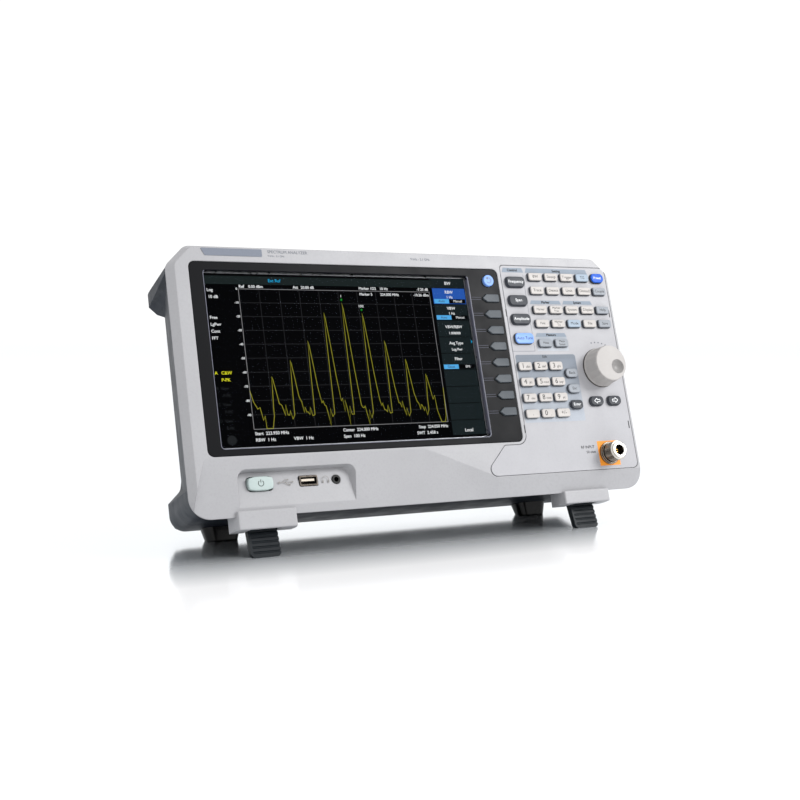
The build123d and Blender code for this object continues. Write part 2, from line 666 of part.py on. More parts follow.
def make_bumpers():
    """A rubber pad on each rear corner, to stand the case on its back."""
    pads = []
    for x0, x1 in ((17.0, 44.0), (WIDTH - 44.0, WIDTH - 17.0)):
        for z0, z1, radius in ((7.0, 15.5, 4.0), (186.5, 195.5, 3.5)):
            pad = slab(rounded_span((x0, x1, z0, z1), radius), CASE_DEPTH,
                       CASE_DEPTH + BUMPER_THICK)
            pads.append(fillet(pad.edges().group_by(Axis.Y)[-1], 1.4))
    return pads


# ---------------------------------------------------------------- inside
def make_display_glass():
    return slab(rounded_span((22.0, 255.0, 46.0, 184.4), 1.5), 2.6, 4.0)


def make_lcd():
    """The display module: a metal-backed panel behind the glass."""
    return block((23.0, 254.0), (4.3, 10.5), (47.0, 183.5))


def make_tray():
    """A sheet-metal tray: front wall, floor and the rear panel of the sockets."""
    tray = block(TRAY_X, (TRAY_FRONT_Y, TRAY_FRONT_Y + SHEET), TRAY_Z)
    tray -= block((38.0, 126.0), (0, 50), (11.0 + SHEET, 44.0))
    tray += block(TRAY_X, (TRAY_FRONT_Y, TRAY_REAR_Y), (TRAY_Z[0], TRAY_Z[0] + SHEET))
    tray += block(TRAY_REAR_X, (TRAY_REAR_Y, TRAY_REAR_Y + SHEET), (TRAY_Z[0], TRAY_REAR_Z))
    tray -= rod(*RF_INPUT, 8.0, 0.0, 50.0)
    for number in range(10):
        z = FAN[1] - 24.75 + 5.5 * number
        half = math.sqrt(27.0 ** 2 - (z - FAN[1]) ** 2)
        tray -= slab(rounded((FAN[0], z), (2 * half, 3.2), 1.5), 80.0, 100.0)
    tray -= slab(rounded(INLET, (27.2, 19.8), 2.0), 80.0, 100.0)
    tray -= slab(rounded(LAN, (16.2, 13.6), 0.5), 80.0, 100.0)
    tray -= slab(rounded(USB_B, (12.2, 11.0), 0.5), 80.0, 100.0)
    for x in BNC_X:
        tray -= rod(x, BNC_Z, 4.9, 80.0, 100.0)
    return tray


def make_main_board():
    """The main board, with its processor heat sink, connectors and chips."""
    y = TRAY_FRONT_Y + SHEET + 4.0
    board = block((135.0, 300.0), (y, y + BOARD_THICK), (20.0, 125.0))
    board += block((190.0, 225.0), (y + BOARD_THICK, y + 9.0), (70.0, 105.0))
    for number in range(8):
        x = 191.0 + 4.4 * number
        board += block((x, x + 1.6), (y + 9.0, y + 20.0), (70.0, 105.0))
    for x, z in ((150.0, 40.0), (150.0, 95.0), (245.0, 35.0), (262.0, 95.0)):
        board += block((x, x + 18.0), (y + BOARD_THICK, y + BOARD_THICK + 2.0), (z, z + 18.0))
    return board


def make_rf_module():
    """The screened front end behind the input, a folded can with a rim."""
    can = block((305.0, 352.0), (26.5, 58.0), (16.0, 122.0))
    can += block((302.0, 355.0), (26.5, 28.0), (13.0, 125.0))
    can += block((352.0, 358.0), (30.0, 40.0), (20.0, 40.0))
    return can - rod(*RF_INPUT, 8.0, 20.0, 40.0)


def make_power_supply():
    """The mains supply: a board with its transformer, capacitors and heat sinks."""
    supply = block((48.0, 126.0), (30.0, 32.0), (66.0, 134.0))
    supply += block((56.0, 84.0), (32.0, 58.0), (72.0, 98.0))
    supply += block((90.0, 93.0), (32.0, 62.0), (70.0, 120.0))
    for z in (76.0, 92.0, 108.0):
        supply += rod(108.0, z, 6.5, 32.0, 60.0)
    return supply


def make_fan_frame():
    x, z = FAN
    half = FAN_SIZE / 2
    frame = slab(rounded(FAN, (FAN_SIZE, FAN_SIZE), 4.0), *FAN_Y)
    frame -= rod(x, z, half - 1.5, FAN_Y[0] - 1, FAN_Y[1] + 1)
    spokes = block((x - half + 1, x + half - 1), (FAN_Y[0], FAN_Y[0] + 2.0), (z - 1.5, z + 1.5))
    spokes += block((x - 1.5, x + 1.5), (FAN_Y[0], FAN_Y[0] + 2.0), (z - half + 1, z + half - 1))
    frame += spokes + rod(x, z, 12.0, FAN_Y[0], FAN_Y[0] + 3.0)
    frame += rod(x, z, 3.5, FAN_Y[0], FAN_Y[0] + 9.0)
    return frame - rod(x, z, FAN_SHAFT_R + SHAFT_GAP, FAN_Y[0] + 1.0, FAN_Y[0] + 10.0)


def make_fan_rotor():
    """A cup with pitched blades, on a shaft that runs in the frame's bush."""
    x, z = FAN
    front, back = FAN_Y[0] + 3.6, FAN_Y[1] - 0.8
    rotor = rod(x, z, 13.0, front, back) - rod(x, z, 11.0, front - 1, back - 2.0)
    rotor += rod(x, z, FAN_SHAFT_R, FAN_Y[0] + 1.5, back - 1.0)
    for number in range(FAN_BLADES):
        blade = Pos(0, 0, 19.8) * Rot(0, 0, 38) * Box(1.4, 12.0, 14.6)
        turned = Rot(0, 360.0 * number / FAN_BLADES, 0) * blade
        rotor += Pos(x, (front + back) / 2, z) * turned
    return rotor


def make_inlet():
    """A mains inlet: a flanged body with a deep mouth and three blades."""
    mouth = outline((INLET[0] - 12.2, INLET[1] - 8.2, 1), (INLET[0] + 12.2, INLET[1] - 8.2, 1),
                    (INLET[0] + 12.2, INLET[1] + 3.4, 1), (INLET[0] + 7.6, INLET[1] + 8.2, 1),
                    (INLET[0] - 7.6, INLET[1] + 8.2, 1), (INLET[0] - 12.2, INLET[1] + 3.4, 1))
    flange_y = TRAY_REAR_Y + SHEET
    inlet = slab(rounded(INLET, (31.0, 23.5), 2.5), flange_y, flange_y + 2.4)
    inlet += slab(rounded(INLET, (27.0, 19.6), 1.5), flange_y - 22.0, flange_y)
    inlet -= slab(mouth, flange_y - 15.0, 100.0)
    for dx, dz in ((-7.0, -2.0), (7.0, -2.0), (0.0, 2.0)):
        inlet += block((INLET[0] + dx - 1, INLET[0] + dx + 1), (flange_y - 16.0, flange_y - 1.0),
                       (INLET[1] + dz - 2, INLET[1] + dz + 2))
    return inlet


def make_rear_ports():
    """The network and device sockets on the rear panel."""
    back = TRAY_REAR_Y + SHEET + 0.8
    front, floor = back - 16.0, back - 13.0
    lan = slab(rounded(LAN, (16.0, 13.4), 0.4), front, back)
    lan -= block((LAN[0] - 5.9, LAN[0] + 5.9), (floor, 100.0), (LAN[1] - 3.9, LAN[1] + 3.9))
    lan -= block((LAN[0] - 3.0, LAN[0] + 3.0), (floor, 100.0), (LAN[1] - 5.6, LAN[1]))
    port = slab(rounded(USB_B, (12.0, 10.8), 0.4), front, back)
    port -= block((USB_B[0] - 4.3, USB_B[0] + 4.3), (floor, 100.0), (USB_B[1] - 4.0, USB_B[1] + 4.0))
    port += block((USB_B[0] - 2.8, USB_B[0] + 2.8), (floor - 1.0, back - 1.5),
                  (USB_B[1] - 1.6, USB_B[1] + 1.6))
    return [lan, port]


def make_bnc():
    """Three bayonet sockets: trigger, reference in and reference out."""
    sockets = []
    outer = TRAY_REAR_Y + SHEET
    for x in BNC_X:
        body = rod(x, BNC_Z, 7.2, outer, outer + 2.0)
        body += rod(x, BNC_Z, 4.8, outer - 10.0, outer + 11.5)
        body += Pos(x, outer + 8.5, BNC_Z) * Cylinder(1.0, 11.6)
        body -= rod(x, BNC_Z, 4.0, outer + 5.0, outer + 12.0)
        sockets.append(body + rod(x, BNC_Z, 1.1, outer + 5.0, outer + 10.0))
    return sockets


# ---------------------------------------------------------------- assembly
def build_nodes():
    nodes = {
        "front_bezel": make_bezel(),
        "display_surround": make_display_surround(),
        "control_panel": make_control_panel(),
        "display_glass": make_display_glass(),
        "lcd_panel": make_lcd(),
        "keypad_mat": make_keypad_mat(),
        "front_boards": make_front_boards(),
        "power_button": make_power_button(),
        "usb_port": make_usb_port(),
        "headphone_jack": make_headphone_jack(),
        "knob": make_knob(),
        "encoder_shaft": make_encoder_shaft(),
        "encoder_body": make_encoder_body(),
        "rf_input_shell": make_n_shell(),
        "rf_input_insulator": make_n_insulator(),
        "rf_input_pin": make_n_pin(),
        "left_foot": make_foot(FEET_X[0]),
        "right_foot": make_foot(FEET_X[1]),
        "rear_feet": make_rear_feet(),
        "carry_handle": make_handle(),
        "rear_cover": make_rear_cover(),
        "case_screws": make_screws(),
        "corner_bumpers": make_bumpers(),
        "chassis_tray": make_tray(),
        "main_board": make_main_board(),
        "rf_module": make_rf_module(),
        "power_supply": make_power_supply(),
        "fan_frame": make_fan_frame(),
        "fan_rotor": make_fan_rotor(),
        "mains_inlet": make_inlet(),
        "rear_ports": make_rear_ports(),
        "reference_sockets": make_bnc(),
    }
    nodes.update(make_keys())
    return nodes


def gather(node):
    """One shape from a solid or a list of separate solids."""
    parts = node if isinstance(node, list) else [node]
    solids = [solid for part in parts for solid in part.solids()]
    return solids[0] if len(solids) == 1 else Compound(solids)


def lean():
    """The instrument's lean on its feet."""
    return Pos(0, 0, LIFT) * Rot(-TILT, 0, 0)


shapes = {name: lean() * gather(node) for name, node in build_nodes().items()}
whole = Compound(list(shapes.values())).bounding_box()
ORIGIN = (whole.center().X, whole.center().Y, 0.0)

os.makedirs("parts", exist_ok=True)
for name, shape in shapes.items():
    export_step(Pos(-ORIGIN[0], -ORIGIN[1], 0) * shape, f"parts/{name}.step")
print(len(shapes), "nodes, box", whole.size, "origin", ORIGIN, "lowest", whole.min.Z)
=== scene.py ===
import json
import math
import random

import bmesh
import bpy
from mathutils import Matrix, Vector


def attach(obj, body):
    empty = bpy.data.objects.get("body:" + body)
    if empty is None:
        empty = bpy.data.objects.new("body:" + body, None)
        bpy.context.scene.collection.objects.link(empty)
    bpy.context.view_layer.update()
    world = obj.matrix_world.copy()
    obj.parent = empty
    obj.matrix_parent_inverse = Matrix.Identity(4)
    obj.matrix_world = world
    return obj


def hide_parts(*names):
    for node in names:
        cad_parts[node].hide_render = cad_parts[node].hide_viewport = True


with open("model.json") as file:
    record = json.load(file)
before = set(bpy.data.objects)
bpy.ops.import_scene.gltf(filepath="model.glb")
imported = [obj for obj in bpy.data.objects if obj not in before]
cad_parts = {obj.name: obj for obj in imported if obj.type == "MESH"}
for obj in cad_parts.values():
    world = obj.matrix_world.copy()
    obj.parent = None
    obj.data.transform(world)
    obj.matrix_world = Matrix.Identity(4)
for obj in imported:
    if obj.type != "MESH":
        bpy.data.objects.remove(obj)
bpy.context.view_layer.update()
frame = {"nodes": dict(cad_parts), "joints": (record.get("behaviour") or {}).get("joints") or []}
nodes = frame["nodes"]
joints = {joint["name"]: joint for joint in frame["joints"]}

# ---- the panel frame
# Pieces are modelled as part.py models them, in millimetres: x to the right from the bezel's left
# edge, y into the depth from the front face, z up the panel. PANEL takes them to the row frame.
MM = 0.001
KNOB = (365.8, 102.9)
UP = Vector(joints["handle_pull"]["axis"]).normalized()
INWARD = Vector(joints["power_button_press"]["axis"]).normalized()
RIGHT = INWARD.cross(UP)
CORNER = Vector(joints["knob_turn"]["pos_m"]) - (RIGHT * KNOB[0] + UP * KNOB[1]) * MM
PANEL = (Matrix.Translation(CORNER) @ Matrix((RIGHT, INWARD, UP)).transposed().to_4x4()
         @ Matrix.Scale(MM, 4))

# ---- sizes shared with part.py
KEY_PROUD = 2.8
FLANGE_Y = 3.3
FLANGE_THICK = 0.6
FLANGE_LIP = 0.7
FLANGE = [(FLANGE_LIP, FLANGE_Y + FLANGE_THICK), (FLANGE_LIP, FLANGE_Y), (0.0, FLANGE_Y)]
KEY_DRAFT = 0.15
LETTER_RELIEF = 0.02
KEY_SIZE = (12.9, 6.6, 1.6)
NUMBER_SIZE = (12.7, 7.1, 1.8)
BIG_SIZE = (17.8, 9.0, 3.4)
END_SIZE = (11.8, 7.4, 2.6)
PRESET_SIZE = (12.8, 8.2, 3.0)
ARROW_SIZE = (13.0, 7.8, 3.2)
COLUMNS = [313.9, 329.9, 345.9, 361.9, 377.6]
ROWS = [181.6, 169.7, 153.1, 141.1]
BIG_X = 293.9
BIG_ROWS = [176.9, 160.9, 144.9, 128.4]
MEASURE_Z = 124.3
NUMBER_X = [290.2, 305.4, 320.4]
NUMBER_Z = [104.9, 91.7, 78.5, 65.3]
SIDE_X = 334.9
SIDE_Z = [98.5, 85.3, 71.8]
ARROW_X = [355.8, 373.9]
ARROW_Z = 74.2
SOFT_X = (260.4, 264.6, 276.0)
SOFT_HEIGHT = 6.6
SOFT_TOP_Z = 162.8
SOFT_PITCH = 13.5
SOFT_COUNT = 8
SOFT_PROUD = 1.2
RETURN_KEY = (268.3, 177.6, 4.9)
RETURN_PROUD = 1.8
WINDOW = (27.2, 249.5, 49.0, 181.6)
POWER = (54.4, 23.6)
POWER_FRONT_Y = 3.6
USB = (92.2, 23.8)
RF_INPUT = (360.4, 30.0)


# ---- outlines in x and z
def offset(corners, grow):
    """The corners of an outline moved outwards; each is x, z, fillet radius, anticlockwise."""
    moved = []
    for index, (x, z, radius) in enumerate(corners):
        px, pz, _ = corners[index - 1]
        nx, nz, _ = corners[(index + 1) % len(corners)]
        before = Vector((x - px, z - pz)).normalized()
        after = Vector((nx - x, nz - z)).normalized()
        normals = Vector((before.y, -before.x)) + Vector((after.y, -after.x))
        shift = normals * (grow * 2 / normals.length_squared)
        turn = before.x * after.y - before.y * after.x
        moved.append((x + shift.x, z + shift.y, max(radius + (grow if turn > 0 else -grow), 0.12)))
    return moved


def filleted(corners, steps=6):
    """The points of an outline with its corners rounded."""
    points = []
    for index, (x, z, radius) in enumerate(corners):
        px, pz, _ = corners[index - 1]
        nx, nz, _ = corners[(index + 1) % len(corners)]
        here = Vector((x, z))
        back = (Vector((px, pz)) - here).normalized()
        ahead = (Vector((nx, nz)) - here).normalized()
        half = back.angle(ahead) / 2
        start = here + back * radius / math.tan(half)
        end = here + ahead * radius / math.tan(half)
        centre = here + (back + ahead).normalized() * radius / math.sin(half)
        first = start - centre
        sweep = first.angle_signed(end - centre)
        for step in range(steps + 1):
            turned = first.copy()
            turned.rotate(Matrix.Rotation(-sweep * step / steps, 2))
            points.append(tuple(centre + turned))
    return points


def box_corners(centre, size, radius, left=None, right=None):
    """The corners of a rounded box; left and right may have their own radii."""
    x, z = centre
    width, height = size
    left = radius if left is None else left
    right = radius if right is None else right
    return [(x - width / 2, z - height / 2, left), (x + width / 2, z - height / 2, right),
            (x + width / 2, z + height / 2, right), (x - width / 2, z + height / 2, left)]


def circle(x, z, radius, count=48, start=0.0):
    return [(x + radius * math.cos(start + math.tau * k / count),
             z + radius * math.sin(start + math.tau * k / count)) for k in range(count)]


def arc(x, z, radius, degrees):
    """Points round a middle, at the given degrees."""
    return [(x + radius * math.cos(math.radians(a)), z + radius * math.sin(math.radians(a)))
            for a in degrees]


def rim(edge, front, steps=6, draft=0.0):
    """The levels of a rounded rim: each is how far the outline grows, and its depth."""
    turns = [math.radians(90) * k / steps for k in range(steps + 1)]
    return [(-draft - edge * (1 - math.cos(t)), front + edge * (1 - math.sin(t))) for t in turns]


# ---- meshes
class Shape:
    """Points in panel millimetres, and faces with the number of their material."""

    def __init__(self):
        self.points = []
        self.faces = []
        self.inks = []
        self.ink = 0

    def face(self, *corners):
        self.faces.append(corners)
        self.inks.append(self.ink)

    def ring(self, points):
        start = len(self.points)
        self.points.extend(points)
        return list(range(start, len(self.points)))

    def level(self, outline, y):
        """A ring of x, z points at depth y."""
        return self.ring([(x, y, z) for x, z in outline])

    def skin(self, rings):
        for a, b in zip(rings, rings[1:]):
            for k in range(len(a)):
                m = (k + 1) % len(a)
                self.face(a[k], a[m], b[m], b[k])

    def cap(self, ring):
        """A ring closed by a fan about its middle."""
        corners = [Vector(self.points[k]) for k in ring]
        middle = sum(corners, Vector()) / len(corners)
        centre = self.ring([tuple(middle)])[0]
        for k, start in enumerate(ring):
            self.face(start, ring[(k + 1) % len(ring)], centre)

    def loft(self, rings):
        """A closed solid through rings of the same count."""
        self.skin(rings)
        self.cap(rings[0][::-1])
        self.cap(rings[-1])

    def plate(self, outline, front, back):
        self.loft([self.level(outline, back), self.level(outline, front)])

    def slab(self, x, y, z):
        """A box from its low and high x, y and z."""
        outline = [(x[0], z[0]), (x[1], z[0]), (x[1], z[1]), (x[0], z[1])]
        self.plate(outline, y[0], y[1])

    def stroke(self, points, width, front, back):
        """A ribbon of x, z points with a width, lying in the panel's plane."""
        sides = []
        for index, (x, z) in enumerate(points):
            here = Vector((x, z))
            before = here - Vector(points[index - 1]) if index else None
            after = Vector(points[index + 1]) - here if index + 1 < len(points) else None
            along = sum((v.normalized() for v in (before, after) if v), Vector((0, 0)))
            along = along.normalized() if along.length > 0.05 else (after or before).normalized()
            normal = Vector((-along.y, along.x))
            line = (after or before).normalized()
            spread = min(width / 2 / max(abs(normal.dot(Vector((-line.y, line.x)))), 0.3), width)
            sides.append((here + normal * spread, here - normal * spread))
        rings = [self.ring([(a.x, front, a.y), (b.x, front, b.y), (b.x, back, b.y),
                            (a.x, back, a.y)]) for a, b in sides]
        self.loft(rings)

    def text(self, words, x, z, size, front, align="CENTER", weight=0.018):
        """Lettering in relief, its front at depth front."""
        curve = bpy.data.curves.new("lettering", "FONT")
        curve.body = words
        curve.size = size
        curve.align_x = align
        curve.align_y = "CENTER"
        curve.resolution_u = 3
        curve.extrude = LETTER_RELIEF
        curve.bevel_depth = size * weight
        curve.bevel_resolution = 0
        holder = bpy.data.objects.new("lettering", curve)
        mesh = bpy.data.meshes.new_from_object(holder)
        start = len(self.points)
        lift = max((v.co.z for v in mesh.vertices), default=0.0)
        self.points.extend((x + v.co.x, front + lift - v.co.z, z + v.co.y)
                           for v in mesh.vertices)
        for polygon in mesh.polygons:
            self.face(*(start + k for k in polygon.vertices))
        bpy.data.objects.remove(holder)
        bpy.data.curves.remove(curve)
        bpy.data.meshes.remove(mesh)


def placed(name, data):
    made = bpy.data.objects.new(name, data)
    bpy.context.scene.collection.objects.link(made)
    return made


def smooth(mesh, angle):
    """Smooth shading, with edges sharper than angle degrees kept."""
    mesh.polygons.foreach_set("use_smooth", [True] * len(mesh.polygons))
    mesh.set_sharp_from_angle(angle=math.radians(angle))


def piece(name, shape, body, materials, replaces=(), angle=32.0, matrix=PANEL):
    """A visible piece that rides on a body."""
    mesh = bpy.data.meshes.new(name)
    mesh.from_pydata(shape.points, [], shape.faces)
    mesh.polygons.foreach_set("material_index", shape.inks)
    work = bmesh.new()
    work.from_mesh(mesh)
    bmesh.ops.remove_doubles(work, verts=work.verts, dist=1e-4)
    bmesh.ops.recalc_face_normals(work, faces=work.faces)
    work.to_mesh(mesh)
    work.free()
    mesh.transform(matrix)
    for material in materials if isinstance(materials, (list, tuple)) else [materials]:
        mesh.materials.append(material)
    smooth(mesh, angle)
    made = placed(name, mesh)
    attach(made, body)
    if replaces:
        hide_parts(*replaces)
    return made


# ---- materials
def tone(red, green, blue):
    """A colour from its display values, 0 to 255."""
    linear = [(v / 255 / 12.92 if v < 10.3 else ((v / 255 + 0.055) / 1.055) ** 2.4)
              for v in (red, green, blue)]
    return (*linear, 1.0)


class Surface:
    """A material under construction: one shader and the textures that feed it."""

    def __init__(self, name, roughness=0.5, metallic=0.0, specular=0.5, coat=0.0):
        self.material = bpy.data.materials.new(name)
        self.material.use_nodes = True
        self.tree = self.material.node_tree
        self.shader = next(n for n in self.tree.nodes if n.type == "BSDF_PRINCIPLED")
        for key, value in (("Roughness", roughness), ("Metallic", metallic),
                           ("Specular IOR Level", specular), ("Coat Weight", coat)):
            self.shader.inputs[key].default_value = value
        self.place = self.node("ShaderNodeTexCoord").outputs["Object"]

    def node(self, kind, **settings):
        made = self.tree.nodes.new(kind)
        for key, value in settings.items():
            setattr(made, key, value)
        return made

    def link(self, source, target):
        self.tree.links.new(source, target)

    def feed(self, source, name):
        self.link(source, self.shader.inputs[name])

    def noise(self, scale, detail=2.0, stretch=None):
        texture = self.node("ShaderNodeTexNoise")
        texture.inputs["Scale"].default_value = scale
        texture.inputs["Detail"].default_value = detail
        place = self.place
        if stretch:
            mapping = self.node("ShaderNodeMapping")
            mapping.inputs["Scale"].default_value = stretch
            self.link(place, mapping.inputs["Vector"])
            place = mapping.outputs["Vector"]
        self.link(place, texture.inputs["Vector"])
        return texture.outputs["Fac"]

    def spread(self, value, low, high, start=0.3, end=0.7):
        """A value taken from start..end to low..high."""
        ranged = self.node("ShaderNodeMapRange")
        for key, level in (("From Min", start), ("From Max", end), ("To Min", low), ("To Max", high)):
            ranged.inputs[key].default_value = level
        self.link(value, ranged.inputs["Value"])
        return ranged.outputs["Result"]

    def mix(self, share, first, second):
        """A blend of two colours by a socket; each colour is a value or a socket."""
        blend = self.node("ShaderNodeMix", data_type="RGBA")
        sockets = [s for s in blend.inputs if s.type == "RGBA"]
        self.link(share, blend.inputs[0])
        for value, socket in zip((first, second), sockets):
            if isinstance(value, tuple):
                socket.default_value = value
            else:
                self.link(value, socket)
        return next(s for s in blend.outputs if s.type == "RGBA")

    def rounded_normal(self, radius):
        """Normals that turn over the edges, as a moulding's do."""
        bevel = self.node("ShaderNodeBevel", samples=4)
        bevel.inputs["Radius"].default_value = radius * MM
        return bevel.outputs["Normal"]

    def edges(self, radius, start=0.06, end=0.3):
        """0 on faces, 1 where the surface turns sharply."""
        bent = self.rounded_normal(radius)
        true = self.node("ShaderNodeNewGeometry").outputs["Normal"]
        dot = self.node("ShaderNodeVectorMath", operation="DOT_PRODUCT")
        self.link(bent, dot.inputs[0])
        self.link(true, dot.inputs[1])
        return self.spread(dot.outputs["Value"], 0.0, 1.0, 1.0 - start, 1.0 - end)

    def bump(self, height, strength, distance, normal=None):
        made = self.node("ShaderNodeBump")
        made.inputs["Strength"].default_value = strength
        made.inputs["Distance"].default_value = distance * MM
        self.link(height, made.inputs["Height"])
        if normal is not None:
            self.link(normal, made.inputs["Normal"])
        self.feed(made.outputs["Normal"], "Normal")

    def paint(self, colour):
        self.feed(colour, "Base Color")


def shade(colour, factor):
    return (colour[0] * factor, colour[1] * factor, colour[2] * factor, 1.0)


def moulded(name, colour, roughness=0.45, specular=0.4, grain=1100.0, relief=0.25, mottle=0.06,
            coat=0.0, wear=None, soften=0.0):
    """Moulded plastic: a fine eroded grain, slow changes of tone and gloss, worn edges."""
    surface = Surface(name, roughness, 0.0, specular, coat)
    slow = surface.spread(surface.noise(14.0, 3.0), 0.0, 1.0)
    mixed = surface.mix(slow, shade(colour, 1 - mottle), shade(colour, 1 + mottle / 2))
    speck = surface.spread(surface.noise(grain * 0.6, 1.0), 0.0, 0.5, 0.45, 0.8)
    mixed = surface.mix(speck, mixed, shade(colour, 1 - 2 * mottle))
    normal = None
    if soften:
        normal = surface.rounded_normal(soften)
    if wear:
        mixed = surface.mix(surface.edges(0.5), mixed, wear)
    surface.paint(mixed)
    gloss = surface.spread(surface.noise(60.0, 3.0), roughness * 0.88, roughness * 1.12)
    surface.feed(gloss, "Roughness")
    surface.bump(surface.noise(grain, 2.0), relief, 0.05, normal)
    return surface.material


def turned(name, colour, roughness=0.25, scratch=(600.0, 30.0, 600.0)):
    """Machined or plated metal with fine tool marks."""
    surface = Surface(name, roughness, 1.0)
    marks = surface.noise(1.0, 2.0, scratch)
    surface.paint(surface.mix(surface.spread(marks, 0.0, 1.0), shade(colour, 0.82), colour))
    gloss = surface.spread(surface.noise(400.0, 2.0), roughness * 0.7, roughness * 1.5)
    surface.feed(gloss, "Roughness")
    surface.bump(marks, 0.2, 0.02, surface.rounded_normal(0.15))
    return surface.material


def galvanised(name, colour):
    """Sheet steel with the spangle of its zinc."""
    surface = Surface(name, 0.42, 1.0)
    cells = surface.node("ShaderNodeTexVoronoi")
    cells.inputs["Scale"].default_value = 160.0
    surface.link(surface.place, cells.inputs["Vector"])
    grey = surface.node("ShaderNodeRGBToBW")
    surface.link(cells.outputs["Color"], grey.inputs["Color"])
    surface.paint(surface.mix(grey.outputs["Val"], shade(colour, 0.8), colour))
    surface.feed(surface.spread(grey.outputs["Val"], 0.34, 0.5), "Roughness")
    surface.bump(surface.noise(500.0), 0.1, 0.02)
    return surface.material


def circuit(name):
    """Solder resist over copper tracks, with rows of pads."""
    surface = Surface(name, 0.3, 0.0, 0.5, 0.2)
    tracks = surface.node("ShaderNodeTexBrick")
    for key, value in (("Scale", 130.0), ("Mortar Size", 0.03), ("Brick Width", 0.9)):
        tracks.inputs[key].default_value = value
    tracks.inputs["Color1"].default_value = tone(22, 84, 50)
    tracks.inputs["Color2"].default_value = tone(18, 74, 46)
    tracks.inputs["Mortar"].default_value = tone(52, 122, 72)
    mapping = surface.node("ShaderNodeMapping")
    mapping.inputs["Rotation"].default_value = (math.radians(90), 0.0, 0.0)
    surface.link(surface.place, mapping.inputs["Vector"])
    surface.link(mapping.outputs["Vector"], tracks.inputs["Vector"])
    pads = surface.node("ShaderNodeTexVoronoi", feature="F1")
    pads.inputs["Scale"].default_value = 420.0
    pads.inputs["Randomness"].default_value = 0.2
    surface.link(mapping.outputs["Vector"], pads.inputs["Vector"])
    spots = surface.spread(pads.outputs["Distance"], 1.0, 0.0, 0.12, 0.16)
    surface.paint(surface.mix(spots, tracks.outputs["Color"], tone(205, 190, 130)))
    surface.bump(tracks.outputs["Fac"], 0.3, 0.03)
    return surface.material


def glowing(name, colour):
    """A lit area of the display, with the faint pitch of its pixels."""
    surface = Surface(name, 0.6, 0.0, 0.0)
    pitch = surface.spread(surface.noise(2600.0, 0.0), 0.0, 1.0)
    surface.paint(surface.mix(pitch, shade(colour, 0.05), shade(colour, 0.06)))
    lit = surface.mix(pitch, shade(colour, 0.88), colour)
    surface.feed(lit, "Emission Color")
    surface.shader.inputs["Emission Strength"].default_value = 1.0
    return surface.material


def printed(name, colour, fade_to=None, from_z=0.0, to_z=1.0):
    """Screen-printed ink, slightly raised, which may fade from one height to another."""
    surface = Surface(name, 0.55, 0.0, 0.3)
    edge = surface.spread(surface.noise(900.0, 3.0), 0.0, 1.0)
    base = surface.mix(edge, shade(colour, 0.93), colour)
    if fade_to:
        height = surface.node("ShaderNodeVectorMath", operation="DOT_PRODUCT")
        height.inputs[1].default_value = UP
        surface.link(surface.place, height.inputs[0])
        floor = CORNER.dot(UP)
        share = surface.spread(height.outputs["Value"], 0.0, 1.0, floor + from_z * MM,
                               floor + to_z * MM)
        base = surface.mix(share, base, fade_to)
    surface.paint(base)
    surface.bump(surface.noise(1500.0), 0.1, 0.02)
    return surface.material


bezel_grey = moulded("bezel_grey", tone(158, 158, 161), 0.42, 0.35, soften=1.0)
panel_grey = moulded("panel_grey", tone(162, 162, 166), 0.46, 0.3, relief=0.2, mottle=0.04)
frame_dark = moulded("frame_dark", tone(6, 7, 11), 0.42, 0.1, grain=1500.0, relief=0.18,
                     mottle=0.15, wear=tone(34, 36, 46), soften=0.3)
case_dark = moulded("case_dark", tone(28, 34, 44), 0.52, 0.2, grain=700.0, relief=0.5,
                    mottle=0.14, wear=tone(78, 84, 96), soften=1.0)
foot_dark = moulded("foot_dark", tone(15, 21, 26), 0.5, 0.18, grain=800.0, relief=0.4,
                    mottle=0.16, wear=tone(58, 64, 70), soften=0.4)
foot_rubber = moulded("foot_rubber", tone(2, 2, 3), 0.25, 0.15, grain=500.0, relief=0.3,
                      mottle=0.2, coat=0.1, wear=tone(14, 15, 18), soften=0.6)
key_white, key_grey, key_pale = (
    moulded(name, colour, 0.5, 0.3, grain=1600.0, mottle=0.04, soften=0.2)
    for name, colour in (("key_white", tone(180, 176, 173)), ("key_grey", tone(138, 143, 150)),
                         ("key_pale", tone(146, 161, 176))))
key_dark = moulded("key_dark", tone(44, 48, 55), 0.48, 0.3, grain=1600.0, mottle=0.08)
key_light_blue = moulded("key_light_blue", tone(112, 152, 222), 0.42, 0.35, grain=1600.0)
key_blue = moulded("key_blue", tone(0, 80, 186), 0.45, 0.2, grain=1600.0)
soft_grey = moulded("soft_key_grey", tone(66, 72, 78), 0.5, 0.3, grain=1600.0, mottle=0.06)
power_mint = moulded("power_key", tone(168, 182, 180), 0.4, 0.4, grain=1600.0, mottle=0.04)
knob_grey = moulded("knob_grey", tone(170, 167, 165), 0.5, 0.3, grain=1400.0, mottle=0.04)
# Darker grey for the knob's dimple: painted shade in the hollow.
knob_hollow_painted_shade = moulded("knob_hollow_painted_shade", tone(134, 132, 131), 0.4, 0.4, grain=1400.0, mottle=0.04)
port_black = moulded("port_black", tone(11, 12, 13), 0.45, 0.3, grain=1200.0, mottle=0.2,
                     soften=0.2)
# Darker material for the lower walls of the keys: painted shade standing in for the shadow on the
# walls and round the keys.
key_wall_painted_shade = moulded("key_wall_painted_shade", tone(70, 73, 80), 0.55, 0.2, grain=1600.0, mottle=0.06)
